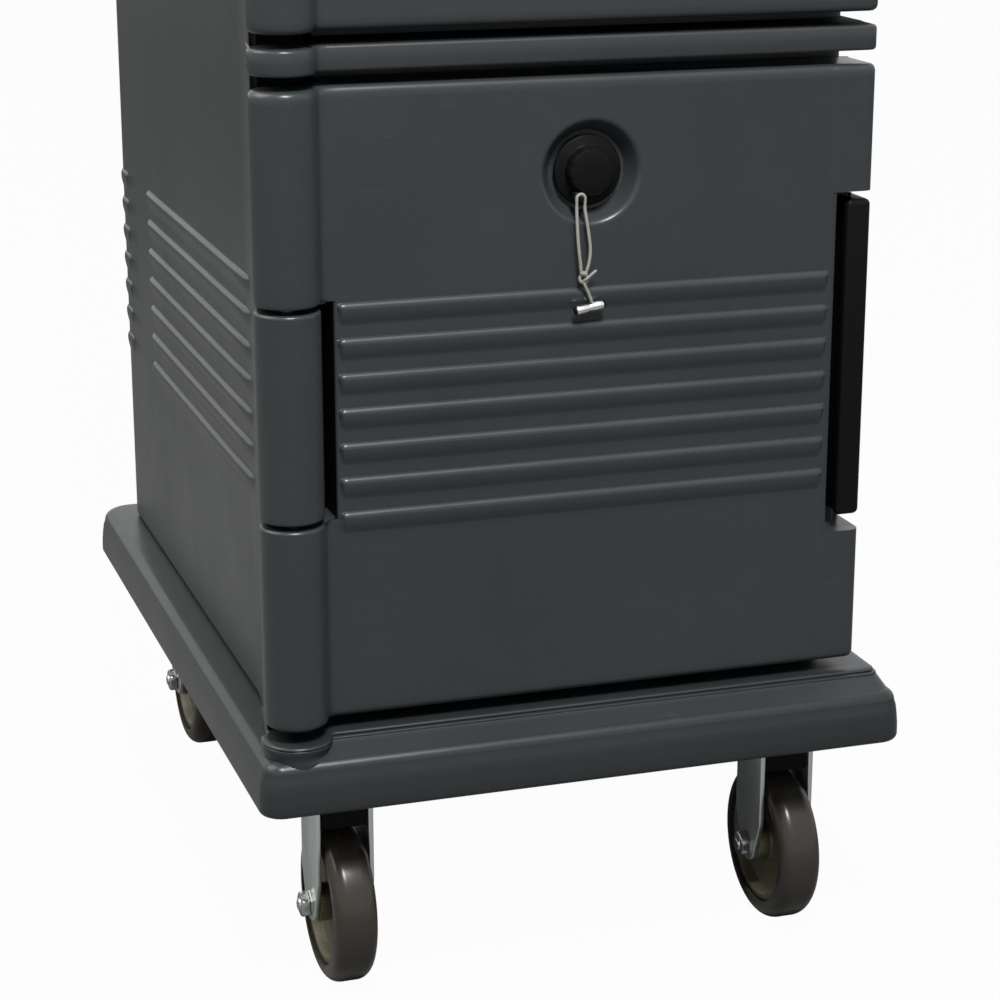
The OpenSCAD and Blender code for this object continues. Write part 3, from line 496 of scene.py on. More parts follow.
BESIDE_VENT = np.arange(-41, 41.1, 1.0)
FACE_X = np.unique(np.round(join([np.arange(-188, 192, 9.0), VENT_X + BESIDE_VENT, np.arange(-192, -182, 1.5),
                                  np.arange(184, 193.6, 1.5)]), 2))
FACE_X = FACE_X[(FACE_X > -190) & (FACE_X < 193.5)]


def door_rows(z0):
    """Rows of a door from its lower to its upper edge, with both edges rounded by 5 mm. At the ends of the gap
    between its knuckles and of the latch recess, two rows lie 0.0002 mm apart, one for each side of the step."""
    edge, knee, step = 5.0, 2.2, 1e-4
    gap, recess_ends = (154.5, 316.5), (106.5, 373.5)
    rise = quarter(5)[:, 1] * edge
    soft_gap = [gap[0] - knee * t for t in (1, 0.55, 0.15)] + [gap[1] + knee * t for t in (1, 0.55, 0.15)]
    ups = heights_with(join([rise, DOOR_H - rise, soft_gap]), 0, DOOR_H, 9.0, RIBS)
    plans = []
    for up in np.unique(join([ups, VENT + BESIDE_VENT])):
        tuck = drawn_in(edge, min(up, DOOR_H - up))
        plans.append((up, not gap[0] <= up <= gap[1], recess_ends[0] <= up <= recess_ends[1], tuck))
    for z, below, above in ((gap[0], True, False), (gap[1], False, True)):
        plans += [(z - step, below, True, 0.0), (z + step, above, True, 0.0)]
    for z, below, above in ((recess_ends[0], False, True), (recess_ends[1], True, False)):
        plans += [(z - step, True, below, 0.0), (z + step, True, above, 0.0)]
    rows = []
    for up, knuckle, recess, tuck in sorted(plans):
        pull = drawn_in(knee, min(abs(up - gap[0]), abs(up - gap[1]))) if knuckle else 0.0
        rows.append(stand(door_outline(up, knuckle, recess, pull, tuck), z0 + up))
    return np.stack(rows)


for side, z0 in SIDES.items():
    pan = prism(rectangle(164, 200, 20), DOOR_BACK - 1, -263.0, 5.0, "y") + (0, 0, z0 + MIDDLE)
    build(f"{side}_door_shell", [door_rows(z0), pan], shell_finish, f"{side}_door", [f"{side}_door"])

# %% [markdown]
# ## The cabinet
# The cabinet is carried up in the same way. Its outline runs down the left wall, where the wall swells out to the
# hinge column, along the front frame, into the compartment and out of it again, and back round the right wall, the
# two back corners and the back. At the floor and roof of a compartment the inner stretch folds flat on the frame.
# In the band and at the top, the front comes forward to the door face and the hinge barrel closes the corner.

# %% Cabinet outline: walls, compartments and hinge column
SWELL, SWELL_LONG = -202.0, 129.0   # where the left wall starts to swell out, and how long the swelling is
CAVITY_W, CAVITY_H, CAVITY_R = 171.5, ROOF - FLOOR, 22.0


def swell(y):
    """Left wall's outline: it moves out by 18.5 mm, on a smooth step, as it nears the hinge column."""
    return -RIGHT - 18.5 * ease((SWELL - y) / SWELL_LONG)


def cavity_half(up):
    """Half the width of a compartment at a height over its floor: narrower in its four rounded corners."""
    return CAVITY_W - drawn_in(CAVITY_R, min(up, CAVITY_H - up))


def rail(up):
    """How far the moulded tray rails stand out from a compartment's wall: flat on top, sloping below."""
    return max(12.0 * float(np.interp(z - up, [-1.2, 0, 1.0, 5.3, 16.0], [0, 0.8, 1.0, 1.0, 0])) for z in TRAY_RAILS)


RAIL_Y = join([[-266, -262.5, -259, -257.5, -256], np.linspace(-240, 250, 8), [266, 267.5, 270, 276]])
CLOSED = 2 * len(RAIL_Y) + 22       # points of a compartment's stretch


def left_front(kind):
    """The stretch of the outline at the hinge column: 'door' has the barrel's seat, 'knuckle' the fixed barrel, and
    'band' the barrel that runs into the face."""
    y = np.linspace(SWELL, -313.5 if kind == "door" else -317, 18)
    left = np.column_stack([swell(y), y])
    frame = [straight((-205, -300), (-205, -271.5), 6), straight((-204, FRAME_Y), (-190, FRAME_Y), 6)]
    if kind == "door":
        seat = [arc(*AXIS, BARREL + 1, 138, 92, 14), straight((-225, -305.2), (-206.5, -305.2), 10)]
        return join([left, *seat, arc(-206.5, -303.7, 1.5, -90, 0, 4), *frame])
    if kind == "knuckle":
        return join([left, arc(*AXIS, BARREL, 147, 359, 24), straight((-203, -328), (-205, -306), 4), *frame])
    return join([left, arc(*AXIS, BARREL, 147, 346, 24), arc(-195, -339, 9, 166, 90, 6),
                 straight((-194.5, FACE), (-190, FACE), 4), straight((-189.5, FACE), (-186, FACE), 6)])


def inner(half, rails, y0):
    """The compartment's stretch: in along the left wall, across the back, and out. Folded flat when it is closed."""
    if half is None:
        return straight((-CAVITY_W, y0), (CAVITY_W, y0), CLOSED)
    left = np.column_stack([-half + np.where((RAIL_Y > -258) & (RAIL_Y < 267), rails, 0.0), RAIL_Y])
    left[:2] = (-half - 1.5, FRAME_Y), (-half - 0.4, -268.8)
    back = join([arc(12 - half, 268, 12, 180, 90, 6), straight((20 - half, 280), (half - 20, 280), 10),
                 arc(half - 12, 268, 12, 90, 0, 6)])
    return join([left, back, (left * (-1, 1))[::-1]])


def outer(ups, z):
    """Right wall, back and left wall, with the ribs as a step outwards along the walls' normals."""
    y = join([np.linspace(-236, -228, 5), np.linspace(-210, 170, 9), np.linspace(181, 192, 6), [240],
              np.linspace(282, 292, 5), [304]])
    x = join([np.linspace(206, 164, 4), [160.6, 160.2, 159.8, 159.4], np.linspace(150, 25, 6)])
    both_halves = lambda side, corner, back: join(
        [side, corner, back, back[-1:] * (0, 1), (join([side, corner, back]) * (-1, 1))[::-1]])
    line = both_halves(np.column_stack([0 * y + RIGHT, y]), arc(206.5, 308, 22, 0, 90, 9),
                       np.column_stack([x, 0 * x + BACK]))
    normal = both_halves(np.tile([1.0, 0], (len(y), 1)), arc(0, 0, 1, 0, 90, 9), np.tile([0, 1.0], (len(x), 1)))
    on_side = line[:, 1] < 240
    beyond = np.where(on_side, np.abs(line[:, 1] + 20) - 200.0, 288.0 - line[:, 1])
    bump = sum(rib_height(0 * beyond + up - r, beyond, np.where(on_side, 3.4, 1.9)) for up in ups for r in RIBS)
    if POCKET[0] <= z <= POCKET[1]:
        line[(line[:, 1] > BACK - 1) & (np.abs(line[:, 0]) < 160.0), 1] -= 45.0
    return line + normal * bump[:, None]


POCKET = (1200.0, 1255.0)           # floor and roof of the rear handle's pocket
WALLS = slice(-len(outer([0.0], 0)), None)


def cabinet_outline(z, kind, is_open, keeper=False, flat_front=False):
    """The cabinet's whole plan at height z."""
    ups = [z - z0 for z0 in SIDES.values()]
    up = min(ups, key=lambda u: abs(u - MIDDLE)) - FLOOR
    middle = inner(cavity_half(up) if is_open else None, rail(up), FACE if kind == "band" else FRAME_Y)
    if kind == "band":
        right = [straight((186, FACE), (219, FACE), 8), arc(220.5, -322, 8, -90, 0, 8),
                 straight((RIGHT, -318), (RIGHT, -242), 8)]
    elif keeper:
        right = [straight((186, FRAME_Y), (212, FRAME_Y), 8), straight((212, -268), (212, -247), 8),
                 straight((213, -246), (RIGHT, -246), 8)]
    else:
        right = [straight((186, FRAME_Y), (216, FRAME_Y), 8), arc(216.5, -258, 12, -90, 0, 8),
                 straight((RIGHT, -256), (RIGHT, -242), 8)]
    outline = join([left_front(kind), middle, *right, outer(ups, z)])
    if flat_front:
        ahead = outline[:, 1] < FRAME_Y
        outline[ahead, 0] = np.maximum(outline[ahead, 0], swell(FRAME_Y))
        outline[ahead, 1] = FRAME_Y
    return outline


# %% Cabinet rows, from the foot to the crown
FOOT, FOOT_R = 212.3, 5.0           # the walls' foot is rounded, which leaves a dark line on the base
END_R = 2.5                         # rounding of the knuckles' and the band's upper and lower edges
BAND_HIGH, CROWN_FROM = 18.5, 1255.0


def plain_walls(line):
    """The outline without the short fold where the ribs run into the swelling wall, for rows that have no ribs."""
    line[-6:, 1] = np.linspace(-170, -200, 6)
    return line


def cabinet_spans():
    """Stretches of the cabinet that keep one kind of plan: (low, high, kind, open, keeper's seat, flat front)."""
    spans = [(210.5, 225.5, "door", False, False, True)]
    for side, z0 in SIDES.items():
        floor, roof, low, high = z0 + FLOOR, z0 + ROOF, z0 + KNUCKLE[0], z0 + KNUCKLE[1]
        seat, band = (z0 + KEEPER[0], z0 + KEEPER[1]), z0 + BAND
        for a, b, kind in ((z0 - 10, floor, "door"), (floor, low, "door"), (low, high, "knuckle"), (high, roof, "door"),
                           (roof, band, "door")):
            is_open, marks = floor <= a < roof, sorted({a, b} | {m for m in seat if a < m < b})
            spans += [(c, d, kind, is_open, seat[0] <= c and d <= seat[1], False) for c, d in zip(marks, marks[1:])]
        spans.append((band, band + BAND_HIGH if side == "lower" else CROWN_FROM, "band", False, False, False))
    return spans


def cabinet_rows():
    """All rows of the cabinet's walls. Where the plan changes at one height, two rows share that height."""
    bottoms = np.array(list(SIDES.values()))[:, None]
    corner, rails = CAVITY_R * quarter(7)[:, 1], FLOOR + TRAY_RAILS
    ups = join([rails - 16, rails - 5.3, rails - 1, rails, rails + 1.2, FLOOR + corner, ROOF - corner])
    edges = np.append(bottoms + ups, [p + d for p in POCKET for d in (-0.1, 0.1)])
    bands = [LOWER + BAND, LOWER + BAND + BAND_HIGH, LOWER + PITCH + BAND]
    soft_ends = {"knuckle": (bottoms + KNUCKLE).ravel(), "band": np.array(bands), "door": []}
    last_of_band = len(left_front("band")) + 2 * len(RAIL_Y) + 40
    rows = []
    for a, b, kind, is_open, keeper, flat in cabinet_spans():
        ends = soft_ends[kind]
        near_ends = [e + s * END_R * quarter(4)[:, 1] for e in ends for s in (-1, 1)]
        z = join([heights_with(edges, a, b, 24.0, (bottoms + RIBS).ravel()), *near_ends,
                  FOOT + FOOT_R * quarter(5)[:, 1]])
        for h in np.unique(np.round(z[(z >= a) & (z <= b)], 3)):
            line = cabinet_outline(h, kind, is_open, keeper, flat)
            if len(ends):
                tuck = drawn_in(END_R, np.abs(h - ends).min())
                first, end = (14, 42) if kind == "knuckle" else (10, last_of_band)
                k = np.arange(len(line))
                line = inset(line, tuck * np.clip((k - first + 1) / 6.0, 0, 1) * (k < end))
            if flat:
                line = plain_walls(line)
                tuck = drawn_in(FOOT_R, h - FOOT)
                line[:18, 0] += tuck
                line[WALLS] = inset(line, tuck)[WALLS]
            rows.append(stand(line, h))
    return rows


last = plain_walls(cabinet_outline(CROWN_FROM + 1, "band", False))
body_rows = cabinet_rows() + [stand(inset(last, a), 1262.0 - b) for a, b in (quarter(6) * 7.0)[::-1]]
rim = [(0.6, 1262.0), (0.0, 1262.6), (0.0, 1263.5)] + [(a, 1270.0 - b) for a, b in (quarter(6) * 6.5)[::-1]]
rim += [(22.0, 1270.0), (23.5, 1269.4), (25.0, 1266.6), (27.0, 1266.0), (31.0, 1266.0)]
body_rows += [stand(hug(last, 220.5 - a, 322.0 - a, max(22.0 - a, 4.0)), z) for a, z in rim]
build("cabinet_shell", [np.stack(body_rows)], shell_finish, "cabinet", ["cabinet"])

# %% [markdown]
# ## Painted shade in the gaps
# The latch recess, the slot beside the hinge column and the gaps round the doors lie in deep shade and read as black.
# The mesh keeps its one surface, and the faces in those places take a rougher, near-black second finish: painted shade.

# %% A second finish by place: painted shade
def line_with(piece, finish, chosen):
    """Gives the faces whose middles (mm) and normals pass the test a second finish."""
    mesh, found = piece.data, []
    for name in ("center", "normal"):
        values = np.empty(3 * len(mesh.polygons), np.float32)
        mesh.polygons.foreach_get(name, values)
        found.append(values.reshape(-1, 3).T * (1000 if name == "center" else 1))
    mesh.materials.append(finish)
    picked = chosen(*found[0], *found[1])
    mesh.polygons.foreach_set("material_index", picked.astype(np.int32))
    print(piece.name, "has", int(picked.sum()), "faces in", finish.name)


def door_shade_faces(x, y, z, nx, ny, nz):
    """Faces that get painted shade: the walls of the latch recess, and the wall of the slot beside the hinge column."""
    up = np.where(z > SIDES["upper"], z - SIDES["upper"], z - SIDES["lower"])
    recess = (x > 199.2) & (y > -329.4) & (y < -279) & (up > 106.6) & (up < 373.4) & (ny > -0.99)
    return recess | (nx < -0.8) & (x < -190) & (x > -194) & (up > 154) & (up < 317)


def frame_shade_faces(x, y, z, nx, ny, nz):
    """Faces that get painted shade, where the doors' edges leave them in the dark: level faces, and the column's side
    and frame.
    """
    behind = (x > -240) & (y > -325) & (y < -269) & (z > 226) & (z < 1222)
    return behind & ((np.abs(nz) > 0.9) | ((nx > 0.5) | (ny < -0.5)) & (x < -190))


# The recess, slot and gap faces take the painted shade.
for side in SIDES:
    line_with(bpy.data.objects[f"{side}_door_shell"], gap_shade_finish, door_shade_faces)
line_with(bpy.data.objects["cabinet_shell"], gap_shade_finish, frame_shade_faces)

# %% [markdown]
# ## The base
# The bumper leans in a little as it goes up, and its upper edge is rounder than its lower one. The sill lies on it.
# Its upper edge follows the doors and the hinge column, its lower edge follows the bumper, and a fine groove runs
# round it just under the top.

# %% Bumper and sill
def sill_outline(column, front, right, corner):
    """Plan of the sill: under the swelling wall, round the hinge column at a radius, along the front and round the
    right corner."""
    y = np.linspace(FRAME_Y, -316, 9)
    meet = math.degrees(math.asin((front - AXIS[1]) / column))
    round_column = arc(*AXIS, column, 162, 360 + meet, 30)
    return join([np.column_stack([swell(y), y]), round_column,
                 straight((round_column[-1][0] + 2, front), (right - corner - 2, front), 30),
                 arc(right - corner, front + corner, corner, -90, 0, 9),
                 straight((right, front + corner + 3), (right, FRAME_Y), 8)])


def base_plan(a):
    """Plan of the bumper, moved in by a: the two rear corners are much rounder than the front ones."""
    x, y, front, rear = 260.5 - a, 360.0 - a, max(18.0 - a, 3.0), max(32.0 - a, 3.0)
    return rounded([(-x, -y, front), (x, -y, front), (x, y, rear), (-x, y, rear)], 12)


LEAN = 3.4
rows = [(5 * a, 170.5 + 5 * b) for a, b in quarter(6)]
rows += [(LEAN * ease((z - 178.0) / 60.0) / ease(0.5), z) for z in (184.0, 192.0, 199.0)]
rows += [(LEAN + 9.0 * a, 212.3 - 9.0 * b) for a, b in quarter(10)[::-1]] + [(15.0, 212.4), (30.0, 212.5)]
bumper = [stand(base_plan(a), z) for a, z in rows]

foot, brow = sill_outline(24.8, -352.2, 252.4, 13.0), sill_outline(27.2, -334.6, 247.6, 8.5)
slope = [(0.06, 205.0)] + [(t, 210.9 + 10.35 * t) for t in (0.0, 0.1, 0.2, 0.3, 0.42, 0.55, 0.7, 0.86)]
sill = [stand(foot * (1 - t) + brow * t, z) for t, z in slope]
lip, lip_r = foot * 0.1 + brow * 0.9, 1.3
sill += [stand(inset(lip, lip_r - lip_r * math.sin(a)), 221.2 + lip_r * -math.cos(a))
         for a in np.radians(np.arange(60, 181, 20))]
groove_and_top = [(1.5, 222.6), (1.5, 222.9), (0.1, 223.1), (0.0, 223.5), (0.3, 224.2), (1.0, 224.8), (2.2, 225.2),
                  (3.8, 225.42), (6.0, 225.5), (7.6, 225.5)]
edge = sill_outline(27.0, -333.2, 246.5, 8.0)
sill += [stand(inset(edge, a), z) for a, z in groove_and_top]
for row in sill:
    row[:9, 0] += drawn_in(FOOT_R, row[0, 2] - FOOT)
    row[[0, -1], 1] = -264.0
build("base_shell", [np.stack(bumper), np.stack(sill)], bumper_finish, "cabinet", ["base"])

# %% [markdown]
# ## Latches
# Each latch is a nylon lever in a recess of the door's free edge. Its grip is a rounded bar with a hollow along the
# finger side, and its tail reaches back to the keeper on the cabinet, where a nose snaps over the bead.

# %% Latch levers
GRIP_UPS, TAIL_UPS = np.array([118.5, 367.0]), np.array([195.0, 285.0])
grip = rounded([(208, -329, 3), (228, -329, 5), (228, -293, 2), (211, -293, 2), (211, -318, 3), (208, -321, 2)], 6)
tail = rounded([(218.5, -300, 1), (228, -300, 1), (228, -256, 1.5), (218.5, -256, 1.5)], 4)
nose = rounded([(216.3, -262, 0.8), (225.8, -262, 0.8), (225.8, -256, 1), (216.3, -256, 1)], 4)
for side, z0 in SIDES.items():
    grids = [prism(grip, *(z0 + GRIP_UPS), 4.5, steps=6), prism(tail, *(z0 + TAIL_UPS), 1.2),
             prism(nose, *(z0 + TAIL_UPS), 1.0)]
    build(f"{side}_latch_lever", grids, nylon_finish, f"{side}_latch", [f"{side}_latch"])

# %% [markdown]
# ## Vents, seals and the handle
# The vent's cap is a turned piece with shallow scallops round its knob, and a small lug under it carries the tether.
# The seal is a soft rubber bulb, carried round a rounded rectangle on the back of the door.

# %% Vent caps, seals and handle
def scallop(a, r, h):
    """Ten shallow finger grips round the knob, none on the flange or the stem."""
    return r - 0.6 * np.clip(np.cos(10 * a) - 0.1, 0, 1) * ((r > 13) & (r < 18.5) & (h < -322.6))


KNOB = [(0, -332), (6, -332), (13.4, -331.8), (16.2, -331.0), (17.7, -329.2), (18, -327), (18, -324), (18.3, -322.8),
        (19.2, -322.2), (24.4, -321.9), (25.6, -321.2), (26, -320.2), (26, -318.9), (25.4, -318.1), (12, -318),
        (7.95, -317.6), (7.95, -286), (6.8, -284.2), (0, -284)]
BULB = [(5.5, -278), (5.2, -273.2), (3.4, -270.8), (1.2, -270.3)]
BULB = np.array(BULB + [(-a, y) for a, y in BULB[::-1]] + BULB[:1])
lug = rounded([(-13.0, -21.5, 3), (-1.8, -21.5, 3), (-3.0, -14, 2), (-11.8, -14, 2)], 5)
post = rounded([(-9.1, -21.2, 1.6), (-5.7, -21.2, 1.6), (-5.7, -16.6, 1.6), (-9.1, -16.6, 1.6)], 5)
for side, z0 in SIDES.items():
    at = (0, 0, z0 + VENT)
    grids = [(turned(KNOB, (VENT_X, 0, z0 + VENT), "y", 120, scallop), "open"),
             prism(lug, -331.4, -324.0, 1.2, "y") + at, prism(post, -335.4, -329.0, 0.8, "y") + at]
    build(f"{side}_cap_shell", grids, nylon_finish, f"{side}_vent_cap", [f"{side}_vent_cap"])
    ring = np.stack([stand(rectangle(183 + a, 219 + a, 27.5 + a, 10), y) for a, y in BULB])[..., [0, 2, 1]]
    build(f"{side}_seal_bulb", [(ring + (0, 0, z0 + MIDDLE), "open")], seal_finish, f"{side}_door",
          [f"{side}_seal"])
half = [(0, 160), (11.4, 160), (12, 159.4), (12, 152), (11.6, 151), (10.6, 150), (10.6, 146), (11.2, 143), (11.7, 120),
        (11.9, 60)]
bar = turned(half + [(11.9, 0)] + [(r, -x) for r, x in half[::-1]], (0, 316, 1227.5), "x", 48)
build("handle_bar", [(bar, "open")], nylon_finish, "cabinet", ["rear_handle"])

# %% [markdown]
# ## Tethers
# Each vent cap hangs on a thin cord. Its two strands loop over a post on the cap, come down side by side and meet in
# a knot, and one strand goes on to a toggle bar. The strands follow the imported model's own points, on a smooth curve.

# %% Curves and tubes
def smooth(points, n=24):
    """n points evenly along a smooth curve that passes through the given ones."""
    p = np.asarray(points, float)
    p = join([2 * p[:1] - p[1:2], p, 2 * p[-1:] - p[-2:-1]])
    t = np.linspace(0, len(p) - 3 - 1e-9, n * 8)
    i, f = t.astype(int), (t % 1)[:, None]
    a, b, c, d = p[i], p[i + 1], p[i + 2], p[i + 3]
    line = 0.5 * (2 * b + (c - a) * f + (2 * a - 5 * b + 4 * c - d) * f ** 2 + (3 * b - a - 3 * c + d) * f ** 3)
    far = join([[0], np.cumsum(np.linalg.norm(np.diff(line, axis=0), axis=1))])
    return np.stack([np.interp(np.linspace(0, far[-1], n), far, line[:, k]) for k in range(3)], 1)


def tube(path, r):
    """Round tube along a path; its two ends are drawn in a little, so that they look cut and pressed."""
    way = np.gradient(path, axis=0)
    way /= np.linalg.norm(way, axis=1)[:, None]
    u = np.cross(way, (0, 1, 0))
    u /= np.linalg.norm(u, axis=1)[:, None]
    v = np.cross(way, u)
    a = np.linspace(0, 2 * math.pi, 12, endpoint=False)[:, None]
    wide = np.full((len(path), 1, 1), float(r))
    wide[[0, -1]] *= 0.8
    return path[:, None] + wide * (u[:, None] * np.cos(a) + v[:, None] * np.sin(a))


# %% Strands, knots and toggles
STRANDS = {"left": [(-12.6, -3, -23), (-12.6, -3, -27), (-12.6, -4.2, -36), (-12.3, -5.2, -46), (-11.6, -5.8, -56),
                    (-10.6, -6.2, -65), (-10, -6.2, -72.5)],
           "right": [(-6.2, -3, -23), (-6.2, -3, -27), (-4.8, -4.2, -37), (-3.4, -5.2, -48), (-2.8, -5.8, -57),
                     (-4, -6.2, -66), (-6, -6.2, -72.5)]}
CORD_R, TILT = 1.25, math.radians(10)
bow = arc(-9.4, -18.6, 3.2, 180, 0, 12)
over_post = join([[(-12.6, -24)], bow, [(-6.2, -24)]])
over_post = np.column_stack([over_post[:, 0], np.full(14, -3.0), over_post[:, 1]])
turn = np.radians(np.linspace(100, 440, 26))
eye = np.column_stack([-8 + 2.9 * np.cos(turn), np.linspace(-5.4, -7.4, 26), -77 + 2.9 * np.sin(turn)])
loose = smooth([(-9.4, -6.0, -79.5), (-6.5, -8.2, -77.0), (-2.0, -8.0, -73.6), (1.6, -7.0, -71.4)], 12)
link = smooth([(-8.2, -6.6, -79.4), (-6.6, -6.9, -83), (-3.6, -6.9, -89.5), (-1.6, -6.9, -95)], 12)
band = turned([(0, 0), (2.6, 0.3), (3.1, 1.5), (2.6, 2.9), (0, 3.2)], (-8, -6.4, -74.6), "z", 20)
tilted = np.array([[math.cos(TILT), 0, math.sin(TILT)], [0, 1, 0], [-math.sin(TILT), 0, math.cos(TILT)]])
BARREL_HALF = [(0, 10.4), (2.9, 10.4), (3.3, 9.8), (3.4, 8), (3.4, 2.4), (2.9, 1.6)]
TIP = [(0, 12), (2.6, 12), (2.9, 11.4), (2.9, 10.2), (2.4, 10), (0, 10)]
for side, z0 in SIDES.items():
    vent, cap = np.array([VENT_X, FACE, z0 + VENT]), f"{side}_vent_cap"
    build(f"{side}_tether_loop", [tube(over_post, CORD_R) + vent], cord_finish, cap)
    grids = [tube(path, r) + vent for path, r in ((eye, 1.2), (loose, 1.05), (link, 1.2))] + [(band + vent, "open")]
    knot = build(f"{side}_tether_knot", grids, cord_finish, cap, [f"{side}_toggle"])
    middle = vent + (-3.4, -7.4, -98.5)
    bar = turned(both_ways(BARREL_HALF), (0, 0, 0), "x", 40) @ tilted + middle
    build(f"{side}_toggle_bar", [(bar, "open")], wire_finish, cap)
    tips = [turned([(r, s * h) for r, h in TIP], (0, 0, 0), "x", 32) @ tilted + middle for s in (1, -1)]
    build(f"{side}_toggle_tips", [(tip, "open") for tip in tips], nylon_finish, cap)
    for hand, points in STRANDS.items():
        path = smooth(points) + vent
        strand = build(f"{side}_strand_{hand}", [tube(path, CORD_R)], cord_finish, cap,
                       [f"{side}_tether_{hand}"])
        path *= 0.001

# %% [markdown]
# ## Fixed casters
# A wheel is three turned pieces: a rubber tread with round shoulders, a hard core with a hollow in each side, and the
# axle, whose nuts are turned too, with a radius that follows a hexagon. The fork's legs narrow to the axle.

# %% Wheels and axles
HANDS = {"left": -185.0, "right": 185.0}        # x of the casters on each side
CASTER_Y, TRAIL, AXLE_Z, PLATE_Z = 280.0, 35.0, 63.5, (166.5, 170.5)


def six_sided(a, r, h):
    """Limits a turned radius to a hexagon of 19 mm across its flats, where it is wider than one."""
    hexagon = 9.5 / np.cos((a + math.pi / 6) % (math.pi / 3) - math.pi / 6)
    return np.where(r > 8.9, np.minimum(r, hexagon), r)


shoulder = [(52.5 + 11 * math.cos(t), 6 + 11 * math.sin(t)) for t in np.radians(np.linspace(0, 90, 12))]
TREAD = [(49.5, 17)] + shoulder[::-1] + [(63.5, 0)] + [(r, -h) for r, h in shoulder] + [(49.5, -17), (49.5, 17)]
CORE = both_ways([(5.05, 18.6), (13.6, 18.6), (15, 17.8), (15, 8.2), (16.4, 6.3), (19, 6), (38, 6), (40.6, 6.6),
                  (41.5, 8.5), (42.8, 13.2), (43.8, 14.3), (45.4, 14.5), (47.4, 14.3), (48.6, 13.6), (49.4, 12.4)])
AXLE = [(0, 28.2), (4.5, 27.9), (7.4, 26.8), (8.6, 25.2), (8.8, 23.6), (8.6, 23), (5, 23), (5, -23), (10.8, -23),
        (11.4, -23.1), (11.4, -24.4), (8.8, -24.5), (10.97, -25), (10.97, -29), (9.7, -30.4), (8.6, -31), (5.2, -31.2),
        (5, -31.6), (4.6, -32.4), (3.2, -33), (0, -33)]


def wheel(name, x, y, body, holder):
    """Tread, core and axle of one wheel; the axle rides on what holds it."""
    for piece, profile, n, wave, finish, rides, slot, node in (
            ("tread_band", TREAD, 120, None, tread_finish, body, "tread", "tread"),
            ("wheel_core", CORE, 96, None, core_finish, body, "wheel_core", "core"),
            ("axle_bolt", AXLE, 96, six_sided, nut_finish, holder, "steel", "axle")):
        build(f"{name}_{piece}", [(turned(profile, (x, y, AXLE_Z), "x", n, wave), "open")], finish, rides,
              [f"{name}_{node}"])


# %% Fixed forks
def top_plate(x, y):
    """A caster's plate under the base."""
    return prism(rectangle(38, 48, 6), *PLATE_Z, 0.8) + (x, y, 0)


def bolts(x, y):
    """Four domed bolt heads that hang under a caster's plate."""
    dome = [(0, -5), (3.52, -4.6), (5.44, -3), (6.4, -0.6), (8.64, -0.6), (8.64, 0)]
    return [(turned(dome, (x + i, y + j, PLATE_Z[0]), "z", 24), "open") for i in (-29, 29) for j in (-39, 39)]


def two_legs(outline, x, y, z):
    """The two steel legs of a fork, one on each side of the wheel."""
    return [prism(outline, a, a + 4, 0.9, "x") + (x, y, z) for a in (-23, 19)]


LEG = rounded([(-9.67, -14, 13.5), (9.67, -14, 13.5), (24, 24, 12), (24, 103, 0.5), (-24, 103, 0.5), (-24, 24, 12)], 9)
for hand, x in HANDS.items():
    y, name = -CASTER_Y, f"front_{hand}"
    build(f"{name}_fork_shell", two_legs(LEG, x, y, AXLE_Z) + [top_plate(x, y)] + bolts(x, y), steel_finish, "cabinet",
          [f"{name}_fork"])
    # Between the legs under the plate, a near-black block fills the base's deep shade: painted shade.
    block = prism(rectangle(18.9, 21, 2), 132.2, 166.4, 1.5) + (x, y, 0)
    build(f"{name}_fork_shade_block", [block], shade_block_finish, "cabinet")
    wheel(name, x, y, f"{name}_wheel", "cabinet")

# %% [markdown]
# ## Swivel casters
# At the back each wheel trails behind a kingpin, and a red pedal presses a shoe on the tread. These stand behind
# the front wheels in the photograph, so their details follow the usual construction of such casters.

